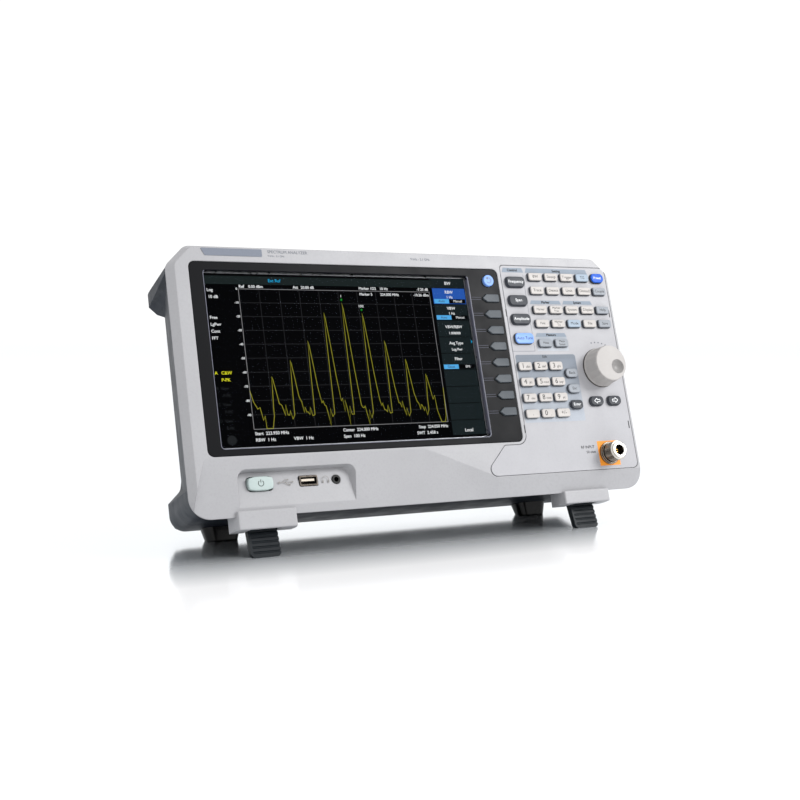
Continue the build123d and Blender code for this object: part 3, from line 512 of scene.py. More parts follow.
# Dark rings round the keys: painted shade.
key_ring_painted_shade = moulded("key_ring_painted_shade", tone(92, 95, 102), 0.6, 0.15, grain=1200.0)
silicone = moulded("silicone", tone(150, 155, 160), 0.6, 0.2, grain=900.0)
screw_black = turned("screw_black", tone(40, 40, 42), 0.35)
nickel = turned("nickel", tone(206, 202, 196), 0.16)
nickel_dark = turned("nickel_dark", tone(128, 121, 112), 0.14)
# A darker copy of the nickel for the connector's bore: painted shade.
bore_painted_shade = turned("bore_painted_shade", tone(52, 46, 40), 0.3)
gold = turned("gold", tone(222, 178, 92), 0.2)
white_ptfe = moulded("white_ptfe", tone(222, 220, 214), 0.55, 0.3, relief=0.1)
usb_metal = turned("usb_metal", tone(104, 97, 90), 0.22)
port_metal = turned("port_metal", tone(190, 192, 196), 0.24)
can_metal = turned("can_metal", tone(170, 172, 176), 0.35)
sheet_metal = galvanised("sheet_metal", tone(186, 190, 194))
circuit_board = circuit("circuit_board")
ink_dark = printed("ink_dark", tone(8, 9, 12))
ink_soft = printed("ink_soft", tone(96, 100, 108))
ink_white = printed("ink_white", tone(236, 238, 240))
ink_header = printed("ink_header", tone(128, 139, 152))
ink_orange = printed("ink_orange", tone(238, 148, 44))
ink_badge = printed("ink_badge", tone(112, 118, 130))
ink_zone = printed("ink_zone", tone(162, 168, 177), tone(112, 120, 131), 62.0, 112.0)
ink_zone_small = printed("ink_zone_small", tone(172, 177, 184), tone(146, 153, 162), 118.0, 132.0)


def clear_glass():
    """Hardened cover glass: nearly all clear, with a faint dark sheen and finger smears."""
    surface = Surface("screen_glass", 0.05, 0.0, 0.0)
    smear = surface.noise(18.0, 4.0)
    surface.feed(surface.spread(smear, 0.03, 0.09), "Roughness")
    surface.feed(surface.spread(smear, 0.03, 0.045), "Alpha")
    surface.paint(surface.mix(surface.noise(9.0), (0.004, 0.005, 0.007, 1.0),
                              (0.008, 0.009, 0.012, 1.0)))
    return surface.material


glass = clear_glass()

# ---- finish of the CAD nodes
FINISHES = {
    "front_bezel": bezel_grey, "display_surround": frame_dark, "control_panel": panel_grey,
    "display_glass": glass, "lcd_panel": can_metal, "keypad_mat": silicone,
    "front_boards": circuit_board, "usb_port": usb_metal, "headphone_jack": port_black,
    "encoder_body": port_metal, "encoder_shaft": port_metal, "rf_input_shell": nickel,
    "rf_input_insulator": white_ptfe, "rf_input_pin": gold, "rear_feet": foot_rubber,
    "rear_cover": case_dark, "case_screws": screw_black, "corner_bumpers": foot_rubber,
    "chassis_tray": sheet_metal, "main_board": circuit_board, "rf_module": can_metal,
    "power_supply": circuit_board, "fan_frame": port_black, "fan_rotor": port_black,
    "mains_inlet": port_black, "rear_ports": port_metal, "reference_sockets": nickel,
    "left_foot": foot_dark, "right_foot": foot_dark, "carry_handle": foot_dark,
}
for name, material in FINISHES.items():
    mesh = nodes[name].data
    mesh.materials.clear()
    mesh.materials.append(material)
    smooth(mesh, 28)


# ---- keys
def key_cap(shape, corners, proud, edge=0.5, dish=0.1, ink=0, wall_shade_ink=None):
    """A key from its flange to its rounded, slightly dished face."""
    levels = FLANGE + [(-0.03, -proud * 0.68)]
    low = len(levels)
    levels += rim(edge, -proud, 5, KEY_DRAFT)
    levels.append((-KEY_DRAFT - edge - 0.2, -proud + dish * 0.4))
    levels.append((-KEY_DRAFT - edge - 0.6, -proud + dish))
    rings = [shape.level(filleted(offset(corners, grow), 5), y) for grow, y in levels]
    # The lower part of the wall takes the darker material when one is given: painted shade.
    shape.ink = ink if wall_shade_ink is None else wall_shade_ink
    shape.cap(rings[0][::-1])
    shape.skin(rings[:low])
    shape.ink = ink
    shape.skin(rings[low - 1:])
    shape.cap(rings[-1])


# Dark rings round the keys, gathered in one piece: painted shade.
key_shade_shape = Shape()


def add_key_shade_ring(corners, front=-0.05, reach=0.55):
    """A dark ring round a key: painted shade standing in for the shadow round it."""
    ways = [filleted(offset(corners, grow), 5) for grow in (0.16, reach)]
    rings = [key_shade_shape.level(ways[0], front), key_shade_shape.level(ways[1], front),
             key_shade_shape.level(ways[1], front + 0.1), key_shade_shape.level(ways[0], front + 0.1)]
    key_shade_shape.skin(rings + rings[:1])


def key_label(shape, words, x, z, size):
    """One or two lines of lettering on a key's face."""
    lines = words.split("\n")
    pitch = size * 0.98
    front = -KEY_PROUD + 0.12 - 0.04
    for index, line in enumerate(lines):
        height = z + pitch * ((len(lines) - 1) / 2 - index)
        shape.text(line, x, height, size, front, weight=0.06)


def key_group(body, keys, caps, inks):
    """One body of keys: each is centre, size, radii (left, right), cap number, words, letter size."""
    caps = list(caps) if isinstance(caps, (list, tuple)) else [caps]
    shape = Shape()
    letters = Shape()
    for centre, size, ends, cap, words, letter in keys:
        corners = box_corners(centre, size[:2], size[2], *ends)
        key_cap(shape, corners, KEY_PROUD, ink=cap, wall_shade_ink=len(caps))
        add_key_shade_ring(corners)
        letters.ink = 0
        if isinstance(words, tuple):
            digit, small = words
            front = -KEY_PROUD + 0.08
            letters.text(digit, centre[0] - 2.4, centre[1], 5.8, front, weight=0.045)
            letters.text(small, centre[0] + 2.4, centre[1] - 0.6, 3.0, front, weight=0.04)
        elif words:
            key_label(letters, words, *centre, letter)
    piece(body + "_caps", shape, body, caps + [key_wall_painted_shade], [body])
    if letters.points:
        piece(body + "_legend", letters, body, inks)


def row(columns, z, words, letter=3.4, caps=None):
    caps = caps or [0] * len(columns)
    return [((x, z), KEY_SIZE, (None, None), cap, label, letter)
            for x, cap, label in zip(columns, caps, words)]


key_group("setting_keys_top",
          row(COLUMNS[:4], ROWS[0], ["BW", "Sweep", "Trigger", "TG"], caps=[0, 0, 0, 1]),
          [key_white, key_pale], ink_dark)
key_group("setting_keys_bottom",
          row(COLUMNS, ROWS[1], ["Trace", "Detect", "Limit", "Demod", "Couple"],
              caps=[0, 0, 0, 0, 1]), [key_white, key_grey], ink_dark)
key_group("marker_keys",
          row(COLUMNS[:2], ROWS[2], ["Marker", "Marker\nFctn"], 2.7)
          + row(COLUMNS[:2], ROWS[3], ["Peak", "Marker\nTo"], 2.7), key_white, ink_dark)
key_group("system_keys",
          row(COLUMNS[2:], ROWS[2], ["System", "Display", "Help"], caps=[0, 0, 1])
          + row(COLUMNS[2:], ROWS[3], ["Mode", "File", "Save"], caps=[2, 0, 1]),
          [key_white, key_grey, key_pale], ink_dark)
key_group("measure_keys", row(COLUMNS[:2], MEASURE_Z, ["Meas", "Meas\nSetup"], 2.7),
          key_grey, ink_dark)
key_group("preset_key",
          [((COLUMNS[4], ROWS[0]), PRESET_SIZE, (3.7, 3.7), 0, "Preset", 3.1)],
          key_blue, ink_white)
DARK = ("key_dark", key_dark, ink_white)
GREY = ("key_grey", key_grey, ink_dark)
BLUE = ("key_light_blue", key_light_blue, ink_dark)
for body, z, words, (slot, cap, ink) in (
        ("frequency_key", BIG_ROWS[0], "Frequency", DARK), ("span_key", BIG_ROWS[1], "Span", DARK),
        ("amplitude_key", BIG_ROWS[2], "Amplitude", DARK),
        ("auto_tune_key", BIG_ROWS[3], "Auto Tune", BLUE)):
    key_group(body, [((BIG_X, z), BIG_SIZE, (None, None), 0, words, 3.5)], cap, ink)
for body, z, words, (slot, cap, ink) in (
        ("back_key", SIDE_Z[0], "Back", GREY), ("escape_key", SIDE_Z[1], "Esc", GREY),
        ("enter_key", SIDE_Z[2], "Enter", DARK)):
    key_group(body, [((SIDE_X, z), END_SIZE, (3.3, None), 0, words, 3.3)], cap, ink)
NUMBER_WORDS = [[("1", "abc"), ("2", "def"), ("3", "ghi")], [("4", "jkl"), ("5", "mno"), ("6", "pqr")],
                [("7", "stu"), ("8", "vwx"), ("9", "yz")], [".", ("0", "_"), "+/-"]]
for number, (z, words) in enumerate(zip(NUMBER_Z, NUMBER_WORDS), start=1):
    key_group(f"number_keys_row_{number}",
              [((x, z), NUMBER_SIZE, (None, None), 0, label, 4.6)
               for x, label in zip(NUMBER_X, words)], key_white, ink_dark)


def arrow_glyph(shape, x, z, aim):
    """An outlined arrow, its head towards aim."""
    front = -KEY_PROUD + 0.08
    outline = [(-2.6, 0.9), (0.2, 0.9), (0.2, 2.2), (3.0, 0.0), (0.2, -2.2), (0.2, -0.9),
               (-2.6, -0.9), (-2.6, 0.9)]
    points = [(x + aim * px, z + pz) for px, pz in outline]
    for a, b in zip(points, points[1:]):
        shape.stroke([a, b], 0.5, front, front + 0.08)


for body, x, aim, ends in (("left_arrow_key", ARROW_X[0], -1, (3.5, None)),
                           ("right_arrow_key", ARROW_X[1], 1, (None, 3.5))):
    key_group(body, [((x, ARROW_Z), ARROW_SIZE, ends, 0, "", 3.0)], key_dark,
              ink_white)
    glyph = Shape()
    arrow_glyph(glyph, x, ARROW_Z, aim)
    piece(body + "_legend", glyph, body, ink_white)


piece("key_painted_shade_rings", key_shade_shape, "case", key_ring_painted_shade)


def soft_corners(z):
    tip, shoulder, end = SOFT_X
    half = SOFT_HEIGHT / 2
    return [(tip, z, 0.8), (shoulder, z - half, 0.8), (end, z - half, 1.2), (end, z + half, 1.2),
            (shoulder, z + half, 0.8)]


for number in range(SOFT_COUNT):
    cap = Shape()
    key_cap(cap, soft_corners(SOFT_TOP_Z - number * SOFT_PITCH), SOFT_PROUD, 0.35, 0.05)
    body = f"soft_key_{number + 1}"
    piece(body + "_cap", cap, body, soft_grey, [body])

cap = Shape()
x, z, radius = RETURN_KEY
rings = FLANGE + rim(0.6, -RETURN_PROUD, draft=KEY_DRAFT)
rings += [(-2.0, -RETURN_PROUD + 0.1), (-3.6, -RETURN_PROUD + 0.16)]
cap.loft([cap.level(circle(x, z, radius + grow), y) for grow, y in rings])
piece("return_key_cap", cap, "return_key", key_light_blue, ["return_key"])
curl = Shape()
bow = arc(x, z, 2.1, range(-150, 121, 18))
tip_x, tip_z = bow[-1]
CURL = (-RETURN_PROUD + 0.06, -RETURN_PROUD + 0.2)
curl.stroke(bow, 0.55, *CURL)
curl.plate([(tip_x - 1.9, tip_z + 0.1), (tip_x + 0.5, tip_z - 1.1), (tip_x + 0.6, tip_z + 1.3)], *CURL)
piece("return_key_legend", curl, "return_key", ink_badge)

# power button: a barrel-shaped cap with the standby symbol
BARREL = [(-9.2, -4.0, 1.6), (-4.0, -5.1, 6.0), (4.0, -5.1, 6.0), (9.2, -4.0, 1.6), (9.8, 0.0, 6.0),
          (9.2, 4.0, 1.6), (4.0, 5.1, 6.0), (-4.0, 5.1, 6.0), (-9.2, 4.0, 1.6), (-9.8, 0.0, 6.0)]
cap = Shape()
corners = [(POWER[0] + dx, POWER[1] + dz, radius) for dx, dz, radius in BARREL]
levels = [(1.0, 12.0), (1.0, 10.9), (0.0, 10.9)] + rim(0.9, POWER_FRONT_Y)
levels += [(-2.2, POWER_FRONT_Y - 0.05)]
cap.loft([cap.level(filleted(offset(corners, grow), 4), y) for grow, y in levels])
cap.loft([cap.level(circle(*POWER, 1.5, 20), y) for y in (12.1, 15.2)])
piece("power_button_cap", cap, "power_button", power_mint, ["power_button"])
symbol = Shape()
front = POWER_FRONT_Y - 0.1
symbol.stroke(arc(*POWER, 2.1, range(55, -236, -29)), 0.45, front, front + 0.1)
symbol.stroke([(POWER[0], POWER[1] + 0.5), (POWER[0], POWER[1] + 2.7)], 0.5, front, front + 0.1)
piece("power_button_legend", symbol, "power_button", ink_dark)

# ---- the recess: socket and symbols
RECESS_BACK_Y = 6.0
USB_OPENING = (12.5, 5.2)
USB_TONGUE = (-0.15, 1.5)
USB_DEPTH = (7.05, 19.0)
ICON_Z = 23.6
# A dark sleeve on the socket's inner walls: painted shade in the opening.
socket_shade_sleeve = moulded("socket_painted_shade_sleeve", tone(20, 17, 14), 0.4, 0.3, grain=900.0)
liner = Shape()
corners = box_corners(USB, USB_OPENING, 0.3)
ways = [filleted(offset(corners, grow), 3) for grow in (-0.04, -0.24)]
liner.skin([liner.level(ways[0], USB_DEPTH[0]), liner.level(ways[1], USB_DEPTH[0]),
            liner.level(ways[1], USB_DEPTH[1]), liner.level(ways[0], USB_DEPTH[1])])
piece("usb_painted_shade_sleeve", liner, "case", socket_shade_sleeve)
tongue = Shape()
tongue.slab((USB[0] - 5.2, USB[0] + 5.0), (7.4, 8.0), (USB[1] + USB_TONGUE[0], USB[1] + USB_TONGUE[1]))
piece("usb_tongue_face", tongue, "case",
      moulded("tongue_cream", tone(214, 204, 188), 0.45, 0.4, grain=1300.0, mottle=0.05))
icons = Shape()
ICON = (RECESS_BACK_Y - 0.06, RECESS_BACK_Y + 0.02)
icons.stroke([(69.4, ICON_Z), (79.2, ICON_Z)], 0.36, *ICON)
icons.stroke([(71.6, ICON_Z), (73.4, ICON_Z + 1.8), (75.6, ICON_Z + 1.8)], 0.36, *ICON)
icons.stroke([(73.6, ICON_Z), (75.2, ICON_Z - 1.8), (77.0, ICON_Z - 1.8)], 0.36, *ICON)
icons.plate(circle(69.2, ICON_Z, 0.8, 16), *ICON)
icons.plate(circle(76.0, ICON_Z + 1.8, 0.6, 12), *ICON)
icons.slab((76.6, 77.8), ICON, (ICON_Z - 2.4, ICON_Z - 1.2))
icons.plate([(79.0, ICON_Z - 0.8), (80.6, ICON_Z), (79.0, ICON_Z + 0.8)], *ICON)
arch = arc(105.6, ICON_Z + 0.3, 2.5, range(0, 181, 15))
icons.stroke([(108.1, ICON_Z - 1.8)] + arch + [(103.1, ICON_Z - 1.8)], 0.34, *ICON)
for side in (-2.2, 2.2):
    icons.slab((105.6 + side - 0.45, 105.6 + side + 0.45), ICON, (ICON_Z - 2.2, ICON_Z - 0.2))
piece("recess_icons", icons, "case", printed("ink_icons", tone(138, 135, 132)))

# ---- knob
KNOB_BASE_R = 16.5
KNOB_FACE_R = 15.0
KNOB_BACK_Y = -0.6
KNOB_FRONT_Y = -16.6
KNOB_DIMPLE = (6.0, -3.2, 5.6)
KNOB_FLATS = 18
FLAT_STEPS = 6


def knob_ring(radius, flatness, x=KNOB[0], z=KNOB[1]):
    """A ring that turns from a circle to soft flats."""
    count = KNOB_FLATS * FLAT_STEPS
    points = []
    for k in range(count):
        angle = math.tau * k / count
        off = (angle % (math.tau / KNOB_FLATS)) - math.pi / KNOB_FLATS
        flat = math.cos(math.pi / KNOB_FLATS) / math.cos(off)
        r = radius * (1 - flatness + flatness * flat)
        points.append((x + r * math.cos(angle), z + r * math.sin(angle)))
    return points


def make_knob():
    shape = Shape()
    rings = [shape.level(knob_ring(4.0, 0), KNOB_BACK_Y),
             shape.level(knob_ring(KNOB_BASE_R - 0.5, 0), KNOB_BACK_Y)]
    profile = [(KNOB_BASE_R - 0.1, -0.9, 0), (KNOB_BASE_R, -1.4, 0), (KNOB_BASE_R - 0.05, -2.0, 0.2),
               (KNOB_BASE_R - 0.3, -2.5, 1.3)]
    last = KNOB_FRONT_Y + 1.6
    for k in range(6):
        share = k / 5
        profile.append((KNOB_BASE_R - 0.35 - share * 0.75, -3.0 + share * (last + 3.0), 1.5))
    for k in range(1, 6):
        turn = math.radians(90) * k / 5
        profile.append((KNOB_FACE_R + 0.25 - 0.9 * (1 - math.cos(turn)) + 0.2 * (1 - k / 5),
                        last - (abs(KNOB_FRONT_Y) - abs(last)) * math.sin(turn), 1.5 - 0.28 * k))
    rings += [shape.level(knob_ring(r, f), y) for r, y, f in profile]
    dx, dz, dimple = KNOB_DIMPLE
    rim = profile[-1][0]
    for k in range(1, 7):
        share = k / 6
        radius = rim + (dimple + 0.5 - rim) * share
        rings.append(shape.level(knob_ring(radius, 0, KNOB[0] + dx * share, KNOB[1] + dz * share),
                                 KNOB_FRONT_Y))
    depth = 3.0
    for k in range(1, 9):
        share = 1 - k / 9
        y = KNOB_FRONT_Y + depth * (1 - share * share) ** 0.8
        radius = dimple * share + 0.35 * share ** 3
        rings.append(shape.level(knob_ring(radius, 0, KNOB[0] + dx, KNOB[1] + dz), y))
    shape.loft(rings)
    # The dimple's faces take the darker material: painted shade.
    rim_y = KNOB_FRONT_Y + 0.3
    middle = (KNOB[0] + dx, KNOB[1] + dz)
    for index, corners in enumerate(shape.faces):
        spots = [shape.points[k] for k in corners]
        near = max(math.dist((x, z), middle) for x, _, z in spots) < dimple + 0.6
        shape.inks[index] = int(near and max(y for _, y, _ in spots) > rim_y
                                and max(y for _, y, _ in spots) < KNOB_FRONT_Y + depth + 0.5)
    piece("knob_cap", shape, "knob", [knob_grey, knob_hollow_painted_shade], ["knob"], angle=14)
    # A dark disc behind the knob: painted shadow round its base.
    base_shadow_disc = Shape()
    base_shadow_disc.plate(circle(*KNOB, 16.9, 64), -0.06, 0.05)
    piece("knob_shadow_ring", base_shadow_disc, "case", printed("knob_base_painted_shadow", tone(84, 82, 80)))


make_knob()

# ---- RF input
def make_connector():
    """The N type shell: a round flange, a stepped collar and the coupling thread."""
    x, z = RF_INPUT
    shape = Shape()
    count = 72
    profile = [(5.5, 24.0), (5.5, 0.0), (9.4, 0.0), (9.4, -1.7), (9.1, -2.0), (8.7, -2.0),
               (8.7, -3.2), (8.4, -3.5), (7.2, -3.5), (7.2, -4.6)]
    rings = [shape.level(circle(x, z, r, count), y) for r, y in profile]
    pitch = 1.06
    steps = 8
    turns = 8
    for k in range(turns * steps + 1):
        y0 = -4.7 - pitch * k / steps
        points = []
        for j in range(count):
            phase = (k / steps - j / count) % 1.0
            crest = min(1.0, 2.2 * (1 - abs(2 * phase - 1)))
            points.append((x + (7.2 + 0.72 * crest) * math.cos(math.tau * j / count), y0,
                           z + (7.2 + 0.72 * crest) * math.sin(math.tau * j / count)))
        rings.append(shape.ring(points))
    profile = [(7.2, -13.4), (6.6, -13.6), (6.6, -14.7), (6.3, -15.0), (4.5, -15.0), (4.1, -14.6),
               (4.1, -4.0), (3.0, -4.0), (3.0, 24.0)]
    sleeve = len(rings)
    rings += [shape.level(circle(x, z, r, count), y) for r, y in profile]
    shape.skin(rings[:sleeve])
    shape.ink = 1
    shape.skin(rings[sleeve - 1:sleeve + 6])
    # The bore inside the shell takes the darker copy: painted shade.
    shape.ink = 2
    shape.skin(rings[sleeve + 5:] + rings[:1])
    piece("rf_input_body", shape, "case", [nickel_dark, nickel, bore_painted_shade],
          ["rf_input_shell"], angle=40)


make_connector()

# ---- print on the bezel and panel
PRINT = (-0.05, 0.05)


STRIP_CUT = 1.6


def patches(name, ink, outlines, depths=PRINT):
    """A printed piece of flat patches."""
    shape = Shape()
    for outline in outlines:
        shape.plate(outline, *depths)
    piece(name, shape, "case", ink)


def legend(name, ink, front, lines, **look):
    """A printed piece of lettering; each line is words, x, z, size and perhaps its alignment."""
    shape = Shape()
    for words, x, z, size, *align in lines:
        shape.text(words, x, z, size, front, *align, **look)
    piece(name, shape, "case", ink)


patches("header_strips", ink_header, [
    [(x0, z0), (x1, z0), (x1 - STRIP_CUT, z1), (x0 + STRIP_CUT, z1)] for x0, x1, z0, z1 in (
        (283.3, 304.6, 185.7, 189.6), (306.0, 369.6, 185.7, 189.6), (306.0, 337.4, 158.4, 161.6),
        (338.6, 369.4, 158.4, 161.6), (306.4, 337.4, 130.2, 133.4))])
patches("entry_zone", ink_zone, [filleted([(283.5, 58.4, 1.0), (342.6, 58.4, 1.0),
                                           (342.6, 115.0, 2.4), (283.5, 115.0, 1.6)])])
patches("measure_zone", ink_zone_small,
        [[(306.4, 118.2), (337.4, 118.2), (337.4, 130.1), (306.4, 130.1)]])
patches("entry_header", printed("ink_entry", tone(112, 120, 130)),
        [filleted([(283.5, 111.4, 0.3), (342.6, 111.4, 0.3), (342.6, 115.0, 2.2),
                   (283.5, 115.0, 1.6)])], (-0.1, 0.0))
legend("header_legend", ink_dark, -0.16,
       (("Control", 293.6, 187.6, 3.0), ("Setting", 337.5, 187.6, 3.0),
        ("Marker", 321.7, 160.0, 2.8), ("System", 354.0, 160.0, 2.8),
        ("Measure", 321.9, 131.8, 2.8), ("Edit", 312.0, 113.2, 2.9)), weight=0.04)
lines = Shape()
for a, b in (((281.6, 118.0), (303.6, 118.0)), ((303.6, 118.0), (303.6, 184.0)),
             ((281.6, 118.0), (281.6, 184.0))):
    lines.stroke([a, b], 0.28, *PRINT)
piece("group_lines", lines, "case", ink_soft)
patches("knob_marks", ink_soft, [circle(*spot, 0.62, 16) for spot in arc(
    *KNOB, 22.2, [101 - 9.4 * number for number in range(5)])])
patches("input_square", ink_orange,
        [[(349.9, 19.9), (370.5, 19.9), (370.5, 40.5), (349.9, 40.5)]])
legend("input_legend", ink_dark, PRINT[0], (("RF INPUT", 340.0, 36.0, 3.2),
                                            ("50 ohm", 342.6, 31.8, 3.0)))

# ---- edge of the display window
TRIM = [(0.55, 0.27), (0.6, 0.4), (0.05, 1.1), (-0.14, 1.0), (-0.08, 0.75), (0.35, 0.27)]
edge_of_window = Shape()
corners = box_corners(((WINDOW[0] + WINDOW[1]) / 2, (WINDOW[2] + WINDOW[3]) / 2),
                      (WINDOW[1] - WINDOW[0], WINDOW[3] - WINDOW[2]), 2.5)
rings = [edge_of_window.level(filleted(offset(corners, grow), 6), y) for grow, y in TRIM]
edge_of_window.skin(rings + rings[:1])
# The trim's top side takes the dark frame material: painted shade.
shaded_top_z = WINDOW[3] - 0.8
edge_of_window.inks = [int(min(edge_of_window.points[k][2] for k in corners) > shaded_top_z)
                       for corners in edge_of_window.faces]
# The rest of the trim is a lighter grey: painted sheen of the glossy bevel on the dark frame.
piece("window_trim", edge_of_window, "case",
      [moulded("trim_painted_sheen", tone(108, 110, 124), 0.28, 0.5, grain=1500.0, mottle=0.08), frame_dark])
# A lighter grey sheet on the window's right wall, which is of the dark frame: painted light on that
# side.
wall = Shape()
wall.slab((WINDOW[1] - 0.12, WINDOW[1] - 0.02), (1.15, 4.0), (WINDOW[2] + 2.6, WINDOW[3] - 2.6))
piece("window_wall_painted_light", wall, "case",
      moulded("window_side_painted_light", tone(84, 85, 100), 0.45, 0.3, grain=1500.0, mottle=0.08))
slots = Shape()
for x, z in ((281.5, 53.5), (281.5, 150.6), (385.9, 150.6), (385.9, 53.5)):
    slots.slab((x - 0.45, x + 0.45), (-0.06, 0.1), (z - 3.2, z + 3.2))
piece("panel_snap_slots", slots, "case", printed("slot_dark", tone(24, 25, 28)))

# ---- display
SCREEN = (27.0, 248.0, 50.0, 180.5)
LAYERS = [4.29, 4.22, 4.17, 4.12, 4.07]
LIT = {name: glowing("screen_" + name, colour) for name, colour in (
    ("black", (0.0018, 0.0019, 0.0022, 1.0)), ("bar", tone(30, 38, 38)), ("menu", tone(28, 36, 38)),
    ("line", tone(38, 38, 40)), ("frame", tone(120, 120, 122)), ("white", tone(235, 238, 240)),
    ("dim", tone(34, 36, 38)), ("yellow", tone(150, 148, 40)), ("label", tone(225, 225, 40)),
    ("blue", tone(42, 88, 175)), ("sky", tone(84, 172, 232)), ("cyan", tone(20, 170, 225)),
    ("green", tone(20, 150, 40)))}

area = Shape()
area.slab(SCREEN[:2], (LAYERS[0] - 0.05, LAYERS[0]), SCREEN[2:])
piece("screen_area", area, "case", LIT["black"])

GRID = (54.0, 214.5, 62.9, 168.7)
DIVISIONS = 10
DIV_X = (GRID[1] - GRID[0]) / DIVISIONS
DIV_Z = (GRID[3] - GRID[2]) / DIVISIONS


def at(column, line):
    """A point of the graticule from its divisions."""
    return GRID[0] + column * DIV_X, GRID[2] + line * DIV_Z


def layer(number):
    return LAYERS[number] - 0.03, LAYERS[number]


bars = Shape()
bars.slab((27.0, 217.5), layer(1), (172.2, 178.6))
piece("screen_status_bar", bars, "case", LIT["bar"])
grid = Shape()
for number in range(1, DIVISIONS):
    grid.stroke([at(number, 0), at(number, DIVISIONS)], 0.5, *layer(1))
    grid.stroke([at(0, number), at(DIVISIONS, number)], 0.5, *layer(1))
piece("screen_grid", grid, "case", LIT["line"])
border = Shape()
ends = [at(0, 0), at(DIVISIONS, 0), at(DIVISIONS, DIVISIONS), at(0, DIVISIONS)]
for a, b in zip(ends, ends[1:] + ends[:1]):
    border.stroke([a, b], 0.5, *layer(2))
piece("screen_grid_border", border, "case", LIT["frame"])
ticks = Shape()
for number in range(1, DIVISIONS):
    x, z = at(0, DIVISIONS - number)
    ticks.text(f"-{number}0", x - 0.8, z, 2.4, LAYERS[2], "RIGHT")
ticks.text("0", GRID[0] - 0.8, GRID[3], 2.4, LAYERS[2], "RIGHT")
for words, x, z, size, *side in (
        ("Ref", 54.5, 170.6, 3.2), ("0.00 dBm", 62.0, 170.6, 3.0),
        ("Att", 97.5, 170.6, 3.2), ("20.00 dB", 104.0, 170.6, 3.0),
        ("Marker 1D2", 152.5, 170.7, 3.0), ("10 Hz", 170.5, 170.7, 3.0),
        ("-7.35 dB", 213.8, 170.7, 3.0, "RIGHT"), ("Marker 5", 152.5, 166.0, 3.0),
        ("224.000 MHz", 170.5, 166.0, 3.0), ("-10.26 dBm", 213.8, 166.0, 3.0, "RIGHT"),
        ("Log", 29.6, 167.6, 3.2), ("10 dB", 30.2, 162.4, 3.2),
        ("Free", 29.8, 146.6, 3.2), ("LgPwr", 29.8, 141.4, 3.2),
        ("Cont", 29.8, 136.2, 3.2), ("FFT", 29.8, 131.0, 3.2),
        ("Start  223.950 MHz", 54.4, 59.6, 3.3), ("RBW  1 Hz", 54.4, 54.9, 3.3),
        ("VBW  1 Hz", 84.0, 54.9, 3.3),
        ("Center  224.000 MHz", 124.0, 59.6, 3.3), ("Span  100 Hz", 124.0, 54.9, 3.3),
        ("Stop  224.050 MHz", 214.0, 59.6, 3.3, "RIGHT"), ("SWT  2.458 s", 186.0, 54.9, 3.3)):
    ticks.text(words, x, z, size, LAYERS[2], *(side or ["LEFT"]))
piece("screen_readouts", ticks, "case", LIT["white"])
legend("screen_trace_label", LIT["label"], LAYERS[2],
       (("A", 29.0, 105.0, 3.4, "LEFT"), ("C&W", 34.0, 105.0, 3.4, "LEFT"),
        ("P-PK", 33.6, 99.8, 3.4, "LEFT")))
label = Shape()
for number, letter in enumerate("BCD"):
    label.text(f"{letter}  View", 29.0, 93.6 - 12 * number, 3.0, LAYERS[2], "LEFT")
    label.text("P-PK", 33.6, 88.2 - 12 * number, 3.0, LAYERS[2], "LEFT")
label.plate(circle(36.6, 55.6, 3.6, 24), *layer(1))
piece("screen_idle_labels", label, "case", LIT["dim"])
label = Shape()
label.text("Ext Ref", 83.0, 175.4, 3.4, LAYERS[2])
label.plate([(246.4, 126.2), (247.6, 127.6), (246.4, 129.0)], *layer(3))
piece("screen_cyan_marks", label, "case", LIT["cyan"])

# the trace: a carrier with four pairs of sidebands, one division apart, over ragged noise
SIDEBANDS = [9.05, 8.3, 6.2, 4.8, 3.65, 2.7]
random.seed(7)


def trace_points():
    """Noise floor at both ends, and between them narrow peaks that fall on their right."""
    points = [at(0.0, 2.7), at(0.12, 1.9), at(0.28, 1.4), at(0.4, 1.5), at(0.5, 0.6),
              at(0.6, 0.9), at(0.62, 0.02), at(0.92, 0.02)]
    for number in range(1, 10):
        height = SIDEBANDS[abs(number - 5)]
        centre = number + 0.13
        foot = random.uniform(1.3, 2.0)
        points += [at(centre - 0.09, 0.4 + 0.3 * foot), at(centre - 0.08, foot),
                   at(centre - 0.04, height * 0.7), at(centre, height),
                   at(centre + 0.04, height * 0.95), at(centre + 0.13, height * 0.72),
                   at(centre + 0.22, height * 0.42 + 0.2), at(centre + 0.33, foot + 0.1)]
        if number < 9:
            low = random.choice([0.03, 0.9, 1.2, 0.6])
            for share in (0.4, 0.46, 0.52, 0.58):
                points.append(at(centre + share, foot + random.uniform(-0.7, 0.3)))
            points += [at(centre + 0.66, low), at(centre + 0.72, foot - 0.3),
                       at(centre + 0.8, max(foot - 0.9, 0.2))]
    points += [at(9.5, 0.9), at(9.6, 0.35), at(9.66, 0.02), at(9.86, 0.02), at(9.95, 0.5),
               at(10.0, 2.6)]
    return points


trace = Shape()
trace.stroke(trace_points(), 0.45, *layer(3))
piece("screen_trace", trace, "case", LIT["yellow"])
marks = Shape()
for column, words in ((5, "1"), (6, "1D2")):
    x, z = at(column + 0.13, SIDEBANDS[column - 5] + 0.25)
    marks.ink = 1
    marks.plate([(x, z - 1.0), (x + 0.9, z), (x, z + 1.0), (x - 0.9, z)], *layer(4))
    marks.ink = 0
    marks.text(words, x, z + 2.9, 2.6, LAYERS[3])
piece("screen_markers", marks, "case", [LIT["white"], LIT["green"]])

